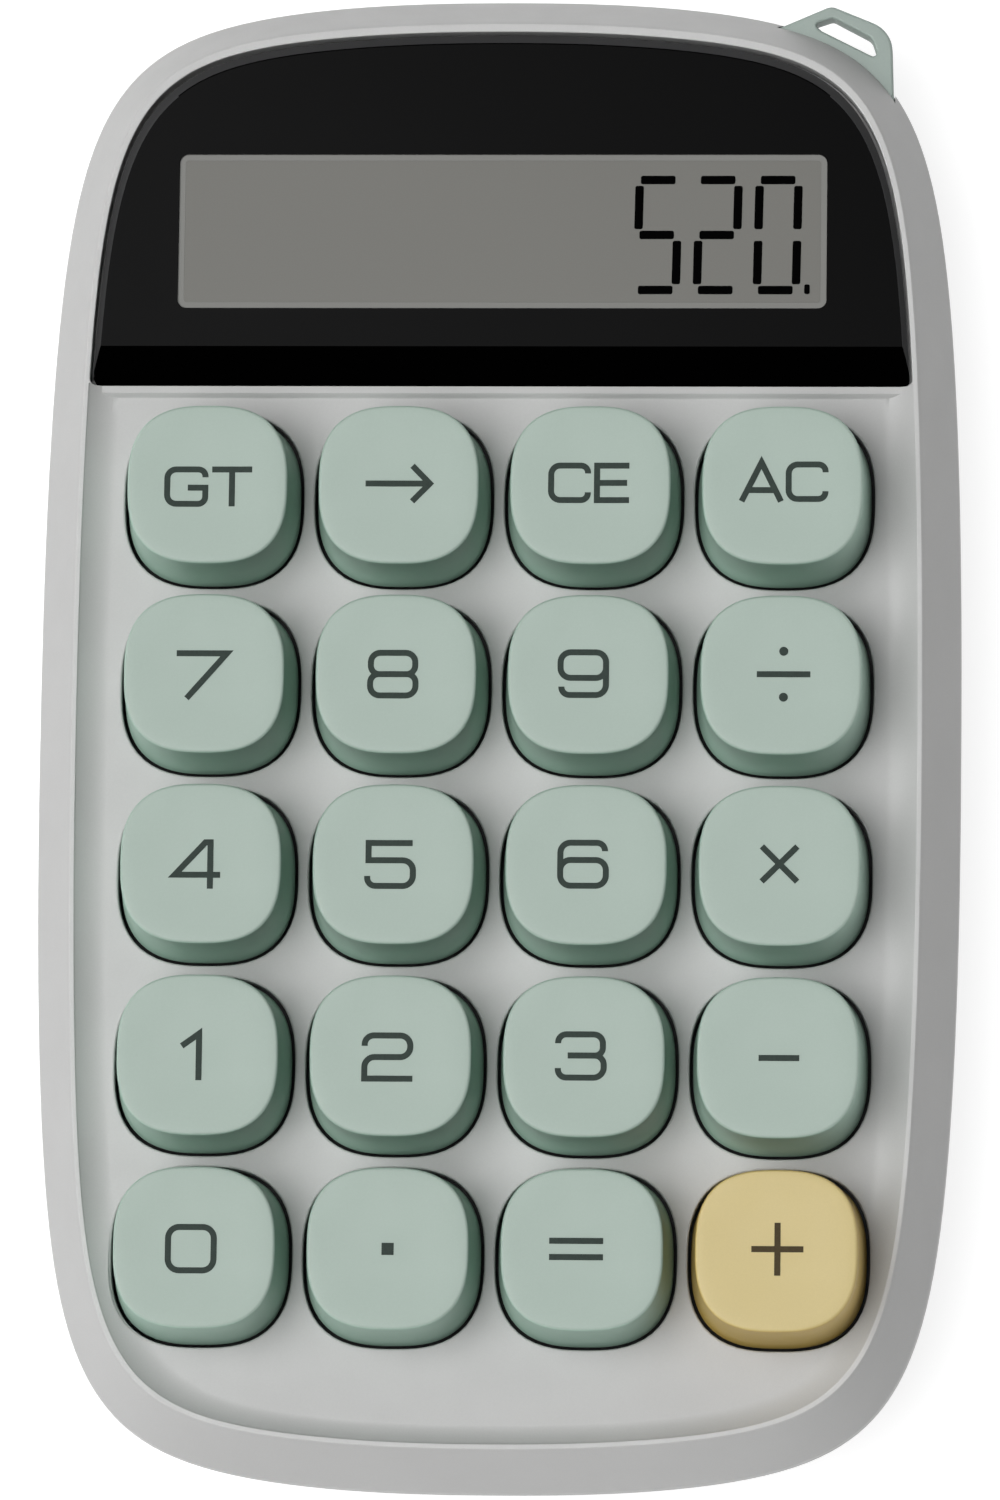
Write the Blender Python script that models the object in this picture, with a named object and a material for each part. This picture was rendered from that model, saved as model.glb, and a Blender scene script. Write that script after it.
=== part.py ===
"""Desk calculator with a liquid-crystal display and twenty keys on mechanical switches.

The frame's origin is under the middle of the case, on the plane that the feet stand on:
+X to the right, +Y towards the display, +Z up. Lengths here are millimetres; MM makes metres.
"""
import math

import bpy

MM = 0.001
GAP = 0.3                       # left between neighbouring pieces

# Case outline at its widest, and heights of its main levels
CASE_HALF_WIDTH = 46.25
CASE_HALF_LENGTH = 75.75
BASE_Z = 1.0                    # underside of the lower housing
PARTING_Z = 11.0                # lower edge of the upper housing
DECK_Z = 17.5                   # flat face round the keys
RIM_Z = DECK_Z + 1.3
WALL = 2.0
DECK_THICKNESS = 1.8
FLOOR_Z = BASE_Z + 1.6

# Exponents and mixing factor of the outline curve, at the case's widest and at its rim
CASE_CURVE = (7.3, 0.68, 2.45)
RIM_CURVE = (7.4, 0.51, 2.24)
RIM_INSET = 4.1                 # middle of the rim, in from the widest outline
RIM_HALF_THICKNESS = 0.25
CASE_SIDES = 48
CORNER_CROWDING = 0.15          # how far the outline's points are drawn towards its corners

# Profiles of the two housings: how far in from the widest outline, and at what height
UPPER_OUTSIDE = (
    (0.0, PARTING_Z), (0.05, PARTING_Z + 1.2),
    (RIM_INSET - RIM_HALF_THICKNESS - 0.25, RIM_Z - 0.4), (RIM_INSET - RIM_HALF_THICKNESS, RIM_Z),
)
UPPER_INSIDE = (
    (RIM_INSET + 0.7, DECK_Z - DECK_THICKNESS), (WALL, PARTING_Z + 1.2), (WALL, PARTING_Z),
)
LOWER_TOP_Z = PARTING_Z - GAP
LOWER_OUTSIDE = (
    (5.75, BASE_Z), (4.4, BASE_Z + 0.4), (2.6, BASE_Z + 1.9), (1.0, BASE_Z + 4.6),
    (0.1, LOWER_TOP_Z - 1.0), (0.0, LOWER_TOP_Z),
)
LOWER_INSIDE = (
    (WALL, LOWER_TOP_Z), (WALL + 0.9, BASE_Z + 4.8), (WALL + 2.8, FLOOR_Z + 0.2),
    (WALL + 3.6, FLOOR_Z),
)
# Cove between the rim and the deck: how far in from the rim, and how far above the deck
COVE = ((2.6, 0.0), (1.2, 0.15), (0.45, 0.5), (0.0, 1.1))
CUT_ABOVE = 3.0                 # how far a cutting solid runs past the faces that it cuts

# Display
LEDGE_Z = DECK_Z + 0.4          # narrow ledge between the deck and the display
DECK_TOP_Y = 34.0               # where the key deck ends
LENS_FRONT_Y = 35.0
LENS_SLOPE = 3.8                # run of the lens's sloping front
LENS_TOP_Z = RIM_Z - 0.1
LENS_THICKNESS = 1.8
LENS_INSET = RIM_INSET + RIM_HALF_THICKNESS + GAP
POCKET_Z = LENS_TOP_Z - LENS_THICKNESS - GAP   # floor of the display's pocket
LENS_BEVEL = (0.7, 0.5)         # width and depth of the edge round its top
LENS_SIDES = 36
LCD_HALF_WIDTH = 35.0
LCD_Y = (40.6, 61.0)
LCD_THICKNESS = 2.2
LCD_TOP_Z = POCKET_Z
RIBBON_HALF_WIDTH = 14.0
RIBBON_HALF_THICKNESS = 0.15

# Keys
KEY_PITCH = 19.05
KEY_GRID_Y = -14.85             # middle of the middle row
KEY_COLUMNS = 4
KEY_HOLE_HALF = 9.0
KEY_BASE_HALF = 8.5
KEY_TOP_HALF = 8.0
KEY_EDGE = 0.45                 # chamfer round the top
KEY_WALL = 1.3
KEY_ROOF = 1.4
KEY_HEIGHT = 8.7                # top of a keycap above the deck
KEY_SKIRT = 0.8                 # how far it reaches below the deck's face
KEY_TRAVEL = 3.6
KEY_CURVE = 2.7
KEY_SIDES = 16
KEY_NAMES = (
    "gt", "arrow", "ce", "ac",
    "7", "8", "9", "divide",
    "4", "5", "6", "multiply",
    "1", "2", "3", "minus",
    "0", "point", "equals", "plus",
)

# Switches, board and plate
PLATE_TOP_Z = 11.2
PLATE_THICKNESS = 1.5
PLATE_HALF_WIDTH = 38.4
PLATE_Y = (-61.6, 33.0)
PLATE_CORNERS = (9.0, 2.0)      # radii at the front and at the rear
BOARD_TOP_Z = 6.2
BOARD_THICKNESS = 1.6
BOARD_POST_RADIUS = 1.8
BOARD_POST_SPOTS = ((-34.0, -43.4), (34.0, -43.4), (-34.0, 24.0), (34.0, 24.0))
SWITCH_LEVELS = (               # half width, cut-off corner and height above the plate
    (6.95, 1.6, BOARD_TOP_Z + GAP - PLATE_TOP_Z), (6.6, 3.0, 0.8), (5.4, 1.8, 6.6),
)
STEM_POST = 3.7                 # cross above the slider
CROSS_LENGTH = 4.0
CROSS_WIDTH = 1.3
SLIDER_HALF = (3.4, 2.8)
SLIDER_LENGTH = 6.5
SLIDER_GAP = 0.4                # running clearance in the switch's well
BOSS_RADIUS = 3.0

# Battery bay, under the display
BATTERY_RADIUS = 5.25
BATTERY_X = (-21.65, 22.05)
BATTERY_NUB = 0.8
BATTERY_NUB_RADIUS = 1.9
BATTERY_EDGE = 0.4
BATTERY_Y = 53.5
BATTERY_Z = FLOOR_Z + GAP + BATTERY_RADIUS
BAY_X = (-24.5, 23.85)
BAY_Y = (45.6, 59.1)
BAY_WALL = 1.2
BAY_TOP_Z = 9.0
CONTACT_HALF = (4.0, 4.2)
CONTACT_THICKNESS = 0.4
SPRING_TURNS = 2.5
SPRING_STEPS = 9                # straight pieces in each turn
SPRING_WIRE = 0.3               # half the wire's thickness
SPRING_RADII = (4.0, 2.2)
DOOR_HOLE_X = (-24.2, 23.6)
DOOR_HOLE_Y = (48.0, 59.0)
DOOR_GAP = 0.35
DOOR_TAB_X = (-16.0, 12.0)
DOOR_TAB_WIDTH = 4.0
DOOR_LATCH_HALF_WIDTH = 4.0

# Screws and feet
SCREW_SPOTS = ((-22.0, -65.8), (22.0, -65.8), (-22.0, 65.8), (22.0, 65.8))
SCREW_NAMES = ("front_left", "front_right", "rear_left", "rear_right")
POST_RADIUS = 3.2
PILOT_RADIUS = 1.35             # hole that the screw cuts its thread in
SHANK_HOLE_RADIUS = 1.5
HEAD_RADIUS = 2.4
HEAD_HOLE_RADIUS = 2.8
HEAD_HOLE_TOP_Z = 4.0
FOOT_SPOTS = ((-30.0, -57.0), (30.0, -57.0), (-31.0, 57.0), (31.0, 57.0))
FOOT_RADIUS = 4.0
FOOT_EDGE = 0.5
FOOT_RECESS = 0.5

# Strap loop at the rear right corner: outline corners with their radii, and its slot
LOOP_Z = (10.4, 12.9)
LOOP_OUTLINE = (
    ((24.9, 71.8), 0.3), ((32.75, 75.2), 1.3), ((38.9, 72.65), 3.2), ((39.15, 64.35), 0.3),
    ((34.0, 64.35), 0.5), ((27.5, 68.35), 0.5),
)
LOOP_SLOT = (
    ((31.0, 73.3), 0.3), ((32.95, 73.95), 0.6), ((36.85, 71.85), 1.1), ((37.6, 69.65), 0.35),
    ((31.8, 72.6), 0.35),
)


# ---------------------------------------------------------------- outlines

def case_ring(inset, z, sides=CASE_SIDES):
    """Ring of the case's rounded outline, drawn in by inset."""
    return [(x, y, z) for x, y in case_arc(inset, 0.0, 2 * math.pi, sides, closed=True)]


def case_arc(inset, start, end, sides, closed=False):
    """Points of the case outline between two turns."""
    steps = sides if closed else sides - 1
    return [case_point(inset, start + (end - start) * i / steps) for i in range(sides)]


def case_point(inset, turn):
    """Point of u^n + v^n + k (u v)^m = 1, the outline's curve; turn runs once round it."""
    angle = turn + CORNER_CROWDING * math.sin(4 * turn)
    blend = min(max(inset / RIM_INSET, 0.0), 1.0)
    power, mix, cross = (a + (b - a) * blend for a, b in zip(CASE_CURVE, RIM_CURVE))
    c, s = math.cos(angle), math.sin(angle)
    low, high = 0.5, 1.5
    for _ in range(40):
        radius = (low + high) / 2
        u, v = abs(radius * c), abs(radius * s)
        if u ** power + v ** power + mix * (u * v) ** cross > 1:
            high = radius
        else:
            low = radius
    return ((CASE_HALF_WIDTH - inset) * radius * c, (CASE_HALF_LENGTH - inset) * radius * s)


def crossing(inset, y):
    """Turn at which the outline's right side reaches y."""
    low, high = -math.pi / 2, math.pi / 2
    for _ in range(40):
        turn = (low + high) / 2
        if case_point(inset, turn)[1] > y:
            high = turn
        else:
            low = turn
    return turn


def upper_ring(inset, y_cut, z):
    """The outline's part behind y_cut, closed by a straight front."""
    start = crossing(inset, y_cut)
    return [(x, y, z) for x, y in case_arc(inset, start, math.pi - start, LENS_SIDES)]


def lower_ring(inset, y_cut, z):
    """The outline's part in front of y_cut, closed by a straight rear."""
    start = crossing(inset, y_cut)
    arc = case_arc(inset, math.pi - start, 2 * math.pi + start, CASE_SIDES)
    return [(x, y, z) for x, y in arc]


def squircle(half, z, power=KEY_CURVE, sides=KEY_SIDES):
    """Ring of a square with strongly rounded sides and corners."""
    points = []
    for i in range(sides):
        angle = 2 * math.pi * (i + 0.5) / sides
        c, s = math.cos(angle), math.sin(angle)
        radius = half / (abs(c) ** power + abs(s) ** power) ** (1 / power)
        points.append((radius * c, radius * s, z))
    return points


def circle(radius, z, sides=16):
    """Ring with its middle on the Z axis."""
    angles = [2 * math.pi * i / sides for i in range(sides)]
    return [(radius * math.cos(a), radius * math.sin(a), z) for a in angles]


def octagon(half, corner, z):
    """Square ring with its corners cut off."""
    flat = half - corner
    return [(half, -flat, z), (half, flat, z), (flat, half, z), (-flat, half, z),
            (-half, flat, z), (-half, -flat, z), (-flat, -half, z), (flat, -half, z)]


def plus_sign(length, width, z):
    """Ring round a cross with equal arms."""
    a, b = length / 2, width / 2
    return [(a, -b, z), (a, b, z), (b, b, z), (b, a, z), (-b, a, z), (-b, b, z),
            (-a, b, z), (-a, -b, z), (-b, -b, z), (-b, -a, z), (b, -a, z), (b, -b, z)]


def rectangle(x_range, y_range, z):
    """Ring round an upright rectangle."""
    (x0, x1), (y0, y1) = x_range, y_range
    return [(x0, y0, z), (x1, y0, z), (x1, y1, z), (x0, y1, z)]


def rounded_polygon(corners, z, steps=4):
    """Ring through clockwise or counter-clockwise corners, each with its own radius."""
    points = []
    for i, (corner, radius) in enumerate(corners):
        before = corners[i - 1][0]
        after = corners[(i + 1) % len(corners)][0]
        a = math.atan2(before[1] - corner[1], before[0] - corner[0])
        b = math.atan2(after[1] - corner[1], after[0] - corner[0])
        half = ((b - a + math.pi) % (2 * math.pi) - math.pi) / 2
        reach = radius / abs(math.sin(half))
        middle = (corner[0] + reach * math.cos(a + half), corner[1] + reach * math.sin(a + half))
        sweep = math.copysign(math.pi / 2 - abs(half), half)
        for step in range(steps + 1):
            turn = a + half + math.pi + sweep * (1 - 2 * step / steps)
            points.append((middle[0] + radius * math.cos(turn),
                           middle[1] + radius * math.sin(turn), z))
    if signed_area(points) < 0:
        points.reverse()
    return points


def signed_area(points):
    """Twice the area of a ring seen from above, negative when it runs clockwise."""
    pairs = zip(points, points[1:] + points[:1])
    return sum(a[0] * b[1] - b[0] * a[1] for a, b in pairs)


def grown(corners, distance):
    """Corners of a polygon moved out by a distance, with radii to match."""
    ring = [(x, y, 0) for (x, y), _ in corners]
    side = 1 if signed_area(ring) > 0 else -1
    result = []
    for i, ((x, y), radius) in enumerate(corners):
        before, after = corners[i - 1][0], corners[(i + 1) % len(corners)][0]
        first = math.atan2(y - before[1], x - before[0]) - side * math.pi / 2
        second = math.atan2(after[1] - y, after[0] - x) - side * math.pi / 2
        middle = math.atan2(math.sin(first) + math.sin(second), math.cos(first) + math.cos(second))
        reach = distance / math.cos(middle - first)
        moved = (x + reach * math.cos(middle), y + reach * math.sin(middle))
        result.append((moved, radius + distance))
    return result


# ---------------------------------------------------------------- solids

def loft(rings):
    """Closed solid through rings of equal length, with flat ends."""
    count = len(rings[0])
    vertices = [point for ring in rings for point in ring]
    faces = [tuple(reversed(range(count)))]
    for level in range(len(rings) - 1):
        base = level * count
        for i in range(count):
            a, b = base + i, base + (i + 1) % count
            faces.append((a, b, b + count, a + count))
    faces.append(tuple(range(len(vertices) - count, len(vertices))))
    return vertices, faces


def box(x_range, y_range, z_range):
    """Upright block."""
    return loft([rectangle(x_range, y_range, z) for z in z_range])


def cylinder(radius, z_range, spot=(0, 0), sides=16):
    """Upright cylinder."""
    return shifted(loft([circle(radius, z, sides) for z in z_range]), (*spot, 0))


def shifted(shape, offset):
    """The same solid somewhere else."""
    vertices, faces = shape
    return [tuple(a + b for a, b in zip(vertex, offset)) for vertex in vertices], faces


def laid_along_x(shape):
    """A solid drawn upright, laid down so that its Z axis runs along X."""
    vertices, faces = shape
    return [(z, x, y) for x, y, z in vertices], faces


def merged(shapes):
    """Several separate solids as one mesh, for cutting or joining in one go."""
    vertices, faces = [], []
    for part_vertices, part_faces in shapes:
        start = len(vertices)
        vertices += part_vertices
        faces += [tuple(start + i for i in face) for face in part_faces]
    return vertices, faces


# ---------------------------------------------------------------- objects

def material(name, color, roughness, metallic=0.0):
    """Principled material of one colour."""
    result = bpy.data.materials.new(name)
    result.use_nodes = True
    shader = result.node_tree.nodes["Principled BSDF"]
    shader.inputs["Base Color"].default_value = (*color, 1.0)
    shader.inputs["Roughness"].default_value = roughness
    shader.inputs["Metallic"].default_value = metallic
    result.diffuse_color = (*color, 1.0)
    return result


def add_object(name, shape, finish=None, location=(0, 0, 0), smooth_angle=35):
    """Object holding a solid, placed under the calculator's empty."""
    vertices, faces = shape
    mesh = bpy.data.meshes.new(name)
    mesh.from_pydata([[value * MM for value in vertex] for vertex in vertices], [], faces)
    if finish:
        mesh.materials.append(finish)
    return place(name, mesh, location, smooth_angle)


def place(name, mesh, location=(0, 0, 0), smooth_angle=35):
    """Object using a ready mesh."""
    mesh.shade_smooth()
    mesh.set_sharp_from_angle(angle=math.radians(smooth_angle))
    result = bpy.data.objects.new(name, mesh)
    result.location = [value * MM for value in location]
    bpy.context.collection.objects.link(result)
    result.parent = bpy.data.objects.get("calculator")
    return result


def combine(target, operations):
    """Applies Boolean operations, given as (operation, solid), to an object."""
    tools = []
    for operation, shape in operations:
        tool = add_object("tool", shape)
        tool.location = target.location
        modifier = target.modifiers.new(operation.title(), "BOOLEAN")
        modifier.operation = operation
        modifier.solver = "EXACT"
        modifier.object = tool
        tools.append(tool)
    bpy.context.view_layer.update()
    evaluated = target.evaluated_get(bpy.context.evaluated_depsgraph_get())
    result = bpy.data.meshes.new_from_object(evaluated)
    target.modifiers.clear()
    plain = target.data
    target.data = result
    bpy.data.meshes.remove(plain)
    result.name = target.name
    result.shade_smooth()
    result.set_sharp_from_angle(angle=math.radians(35))
    for tool in tools:
        mesh = tool.data
        bpy.data.objects.remove(tool)
        bpy.data.meshes.remove(mesh)
    return target


# ---------------------------------------------------------------- housings

def key_spots():
    """Name and middle of each key, from the rear left one along the rows."""
    for index, name in enumerate(KEY_NAMES):
        row, column = divmod(index, KEY_COLUMNS)
        x = (column - (KEY_COLUMNS - 1) / 2) * KEY_PITCH
        y = KEY_GRID_Y + (2 - row) * KEY_PITCH
        yield name, x, y


def upper_housing(finish):
    """Top shell: sloping sides, rim, sunk key deck with its holes, display pocket, notch."""
    ceiling = DECK_Z - DECK_THICKNESS
    shell = loft([case_ring(inset, z) for inset, z in UPPER_INSIDE + UPPER_OUTSIDE])
    inner = RIM_INSET + RIM_HALF_THICKNESS
    above = RIM_Z + CUT_ABOVE
    below = ceiling - CUT_ABOVE
    deck = loft([lower_ring(inner + inward, DECK_TOP_Y, DECK_Z + rise) for inward, rise in COVE]
                + [lower_ring(inner, DECK_TOP_Y, above)])
    ledge = loft([lower_ring(LENS_INSET, LENS_FRONT_Y + 0.2, z) for z in (LEDGE_Z, above)])
    pocket = loft([upper_ring(inner, LENS_FRONT_Y - GAP, z) for z in (POCKET_Z, above)])
    window = box((-LCD_HALF_WIDTH - GAP, LCD_HALF_WIDTH + GAP), (LCD_Y[0] - GAP, LCD_Y[1] + GAP),
                 (below, POCKET_Z + 1))
    hole = loft([squircle(KEY_HOLE_HALF, z) for z in (below, above)])
    holes = merged([shifted(hole, (x, y, 0)) for _, x, y in key_spots()])
    posts = merged([cylinder(POST_RADIUS, (BAY_TOP_Z, ceiling + 0.5), spot, 12)
                    for spot in SCREW_SPOTS])
    bores = merged([cylinder(PILOT_RADIUS, (BAY_TOP_Z - 1, ceiling - 0.7), spot, 8)
                    for spot in SCREW_SPOTS])
    return combine(add_object("upper_housing", shell, finish), (
        ("DIFFERENCE", deck), ("DIFFERENCE", ledge), ("DIFFERENCE", pocket),
        ("DIFFERENCE", window), ("DIFFERENCE", holes), ("UNION", posts), ("DIFFERENCE", bores),
        ("DIFFERENCE", loop_notch()),
    ))


def lower_housing(finish):
    """Bottom shell with screw posts, board posts, the battery bay and the strap notch."""
    shell = loft([case_ring(inset, z) for inset, z in LOWER_OUTSIDE + LOWER_INSIDE])
    sunk = FLOOR_Z - 0.3
    below = BASE_Z - 1
    posts = [cylinder(POST_RADIUS + 0.2, (sunk, BAY_TOP_Z - GAP), spot, 12)
             for spot in SCREW_SPOTS]
    board_bottom = BOARD_TOP_Z - BOARD_THICKNESS
    board_posts = [cylinder(BOARD_POST_RADIUS, (sunk, board_bottom - GAP), spot, 8)
                   for spot in BOARD_POST_SPOTS]
    left, right = BAY_X
    front, rear = BAY_Y
    ends = [box(x_range, (front - BAY_WALL, rear + BAY_WALL), (sunk, BAY_TOP_Z))
            for x_range in ((left - BAY_WALL, left), (right, right + BAY_WALL))]
    sides = [box((left - 0.5, right + 0.5), y_range, (sunk, BAY_TOP_Z - 0.5))
             for y_range in ((front - BAY_WALL + 0.1, front), (rear, rear + BAY_WALL - 0.1))]
    door_hole = box(DOOR_HOLE_X, DOOR_HOLE_Y, (below, FLOOR_Z + 0.1))
    head_holes = [cylinder(HEAD_HOLE_RADIUS, (below, HEAD_HOLE_TOP_Z), spot, 12)
                  for spot in SCREW_SPOTS]
    shank_holes = [cylinder(SHANK_HOLE_RADIUS, (HEAD_HOLE_TOP_Z - 1, BAY_TOP_Z + 1), spot, 8)
                   for spot in SCREW_SPOTS]
    recesses = [cylinder(FOOT_RADIUS + GAP, (below, BASE_Z + FOOT_RECESS), spot)
                for spot in FOOT_SPOTS]
    return combine(add_object("lower_housing", shell, finish), (
        ("UNION", merged(posts + board_posts)), ("UNION", merged(ends)), ("UNION", merged(sides)),
        ("DIFFERENCE", merged(head_holes)), ("DIFFERENCE", merged(shank_holes)),
        ("DIFFERENCE", merged(recesses + [door_hole])), ("DIFFERENCE", loop_notch()),
    ))


def loop_notch():
    """Room for the strap loop, cut from both housings."""
    return loft([rounded_polygon(grown(LOOP_OUTLINE, GAP), z)
                 for z in (LOOP_Z[0] - GAP, LOOP_Z[1] + GAP)])


def display_lens(finish):
    """D-shaped acrylic panel with a sloping front and a narrow bevel round its top."""
    bottom = LENS_TOP_Z - LENS_THICKNESS
    width, depth = LENS_BEVEL
    panel = loft([upper_ring(LENS_INSET, LENS_FRONT_Y, z) for z in (bottom, LENS_TOP_Z - depth)]
                 + [upper_ring(LENS_INSET + width, LENS_FRONT_Y, LENS_TOP_Z)])
    return combine(add_object("display_lens", panel, finish), (("DIFFERENCE", lens_wedge()),))


def lens_wedge():
    """What the lens's sloping front takes away; it reaches a little past the front."""
    crease = LENS_FRONT_Y + LENS_SLOPE
    front = LENS_FRONT_Y - CUT_ABOVE
    drop = (LENS_TOP_Z - LEDGE_Z - 0.05) * (crease - front) / LENS_SLOPE
    corners = ((-CASE_HALF_WIDTH, front), (CASE_HALF_WIDTH, front),
               (CASE_HALF_WIDTH, crease), (-CASE_HALF_WIDTH, crease))
    underside = [(x, y, LENS_TOP_Z - (drop if y == front else 0.0)) for x, y in corners]
    return loft([underside, [(x, y, LENS_TOP_Z + CUT_ABOVE) for x, y in corners]])


def strap_loop(finish):
    """Plate that leaves the case at its rear right corner, with a slot for a cord."""
    plate = loft([rounded_polygon(LOOP_OUTLINE, z) for z in LOOP_Z])
    slot = loft([rounded_polygon(LOOP_SLOT, z, 3) for z in (LOOP_Z[0] - 1, LOOP_Z[1] + 1)])
    return combine(add_object("strap_loop", plate, finish), (("DIFFERENCE", slot),))


# ---------------------------------------------------------------- keys and switches

def keycap_mesh(finish):
    """Hollow keycap with a cross socket, on the deck's plane; local origin at its middle."""
    ceiling = KEY_HEIGHT - KEY_ROOF
    cap = loft([
        squircle(KEY_TOP_HALF - KEY_WALL, ceiling),
        squircle(KEY_BASE_HALF - KEY_WALL, -KEY_SKIRT),
        squircle(KEY_BASE_HALF, -KEY_SKIRT),
        squircle(KEY_TOP_HALF, KEY_HEIGHT - KEY_EDGE),
        squircle(KEY_TOP_HALF - KEY_EDGE, KEY_HEIGHT),
    ])
    boss = loft([circle(BOSS_RADIUS, z, 8) for z in (stem_shoulder() + 0.4, ceiling + 0.3)])
    socket = loft([plus_sign(CROSS_LENGTH + 2 * GAP, CROSS_WIDTH + 2 * GAP, z)
                   for z in (stem_shoulder() - 1, stem_shoulder() + STEM_POST + GAP)])
    draft = add_object("keycap_draft", cap, finish)
    combine(draft, (("UNION", boss), ("DIFFERENCE", socket)))
    mesh = draft.data
    bpy.data.objects.remove(draft)
    return mesh


def stem_shoulder():
    """Top of a switch's slider above the deck's plane, under the cross."""
    return PLATE_TOP_Z + SWITCH_LEVELS[-1][2] - GAP - DECK_Z


def stem_mesh(finish):
    """Slider of a switch with the cross that carries the keycap."""
    shoulder = stem_shoulder()
    (half_x, half_y) = SLIDER_HALF
    slider = box((-half_x, half_x), (-half_y, half_y), (shoulder - SLIDER_LENGTH, shoulder))
    post = loft([plus_sign(CROSS_LENGTH, CROSS_WIDTH, z)
                 for z in (shoulder - 1, shoulder + STEM_POST)])
    draft = add_object("stem_draft", slider, finish)
    combine(draft, (("UNION", post),))
    mesh = draft.data
    bpy.data.objects.remove(draft)
    return mesh


def keys(cap_finish, accent_finish, stem_finish):
    """Twenty keycaps, each on its own switch stem."""
    cap = keycap_mesh(cap_finish)
    accent = cap.copy()
    accent.materials[0] = accent_finish
    stem = stem_mesh(stem_finish)
    for name, x, y in key_spots():
        place("keycap_" + name, accent if name == "plus" else cap, (x, y, DECK_Z))
        place("stem_" + name, stem, (x, y, DECK_Z))


def switch_block(finish):
    """Metal plate carrying the twenty switch housings, each with its slider's well."""
    housing = loft([octagon(half, corner, PLATE_TOP_Z + rise)
                    for half, corner, rise in SWITCH_LEVELS])
    half_x, half_y = (half + SLIDER_GAP for half in SLIDER_HALF)
    well_floor = DECK_Z + stem_shoulder() - SLIDER_LENGTH - KEY_TRAVEL - GAP
    well = box((-half_x, half_x), (-half_y, half_y), (well_floor, DECK_Z + CUT_ABOVE))
    housings = merged([shifted(housing, (x, y, 0)) for _, x, y in key_spots()])
    wells = merged([shifted(well, (x, y, 0)) for _, x, y in key_spots()])
    return combine(add_object("switch_block", board_shape(PLATE_TOP_Z, PLATE_THICKNESS), finish),
                   (("UNION", housings), ("DIFFERENCE", wells)))


def board_shape(top, thickness):
    """Flat plate with rounded corners, the outline that board and switch plate share."""
    half, (front, rear) = PLATE_HALF_WIDTH, PLATE_Y
    front_radius, rear_radius = PLATE_CORNERS
    corners = [((half, front), front_radius), ((half, rear), rear_radius),
               ((-half, rear), rear_radius), ((-half, front), front_radius)]
    return loft([rounded_polygon(corners, z) for z in (top - thickness, top)])


# ---------------------------------------------------------------- display and power

def lcd_ribbon(finish):
    """Thin strip from the liquid-crystal panel down to the board, in one S-shaped fold."""
    half = RIBBON_HALF_THICKNESS
    high = LCD_TOP_Z - LCD_THICKNESS - GAP - half
    low = BOARD_TOP_Z + GAP + half
    route = ((LCD_Y[0] + 2.9, high), (LCD_Y[0] - 1.4, high), (LCD_Y[0] - 3.4, high - 1.1),
             (LCD_Y[0] - 4.2, high - 3.3), (LCD_Y[0] - 4.7, low + 2.2),
             (LCD_Y[0] - 5.7, low + 0.5), (LCD_Y[0] - 7.4, low), (LCD_Y[0] - 9.8, low))
    rings = []
    for i, (y, z) in enumerate(route):
        before, after = route[max(i - 1, 0)], route[min(i + 1, len(route) - 1)]
        along = math.atan2(after[1] - before[1], after[0] - before[0])
        dy, dz = -math.sin(along) * half, math.cos(along) * half
        side = RIBBON_HALF_WIDTH
        rings.append([(-side, y + dy, z + dz), (side, y + dy, z + dz),
                      (side, y - dy, z - dz), (-side, y - dy, z - dz)])
    return add_object("lcd_ribbon", loft(rings), finish)


def battery_cell(finish):
    """Round cell lying along X, with its nub on the right."""
    left, right = BATTERY_X
    radius, edge = BATTERY_RADIUS, BATTERY_EDGE
    profile = ((left, radius - edge), (left + edge, radius), (right - edge, radius),
               (right, radius - edge), (right, BATTERY_NUB_RADIUS),
               (right + BATTERY_NUB, BATTERY_NUB_RADIUS))
    cell = laid_along_x(loft([circle(ring_radius, x, 20) for x, ring_radius in profile]))
    return add_object("battery_cell", shifted(cell, (0, BATTERY_Y, BATTERY_Z)), finish)


def battery_contact(finish):
    """Plate against the cell's nub."""
    left = BATTERY_X[1] + BATTERY_NUB + GAP
    half_y, half_z = CONTACT_HALF
    return add_object("battery_contact", box(
        (left, left + CONTACT_THICKNESS), (BATTERY_Y - half_y, BATTERY_Y + half_y),
        (BATTERY_Z - half_z, BATTERY_Z + half_z)), finish)


def battery_spring(finish):
    """Conical spring at the cell's flat end, as a wire wound by formula."""
    start = BAY_X[0] + GAP + SPRING_WIRE
    end = BATTERY_X[0] - GAP - SPRING_WIRE
    wide, narrow = SPRING_RADII
    curve = bpy.data.curves.new("battery_spring", "CURVE")
    curve.dimensions = "3D"
    curve.bevel_depth = SPRING_WIRE * MM
    curve.bevel_resolution = 1
    curve.use_fill_caps = True
    spline = curve.splines.new("POLY")
    count = int(SPRING_TURNS * SPRING_STEPS) + 1
    spline.points.add(count - 1)
    for i in range(count):
        share = i / (count - 1)
        angle = 2 * math.pi * SPRING_TURNS * share
        radius = wide + (narrow - wide) * share
        point = (start + (end - start) * share, BATTERY_Y + radius * math.cos(angle),
                 BATTERY_Z + radius * math.sin(angle))
        spline.points[i].co = (*[value * MM for value in point], 1)
    curve.materials.append(finish)
    result = bpy.data.objects.new("battery_spring", curve)
    bpy.context.collection.objects.link(result)
    result.parent = bpy.data.objects["calculator"]
    return result


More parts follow.
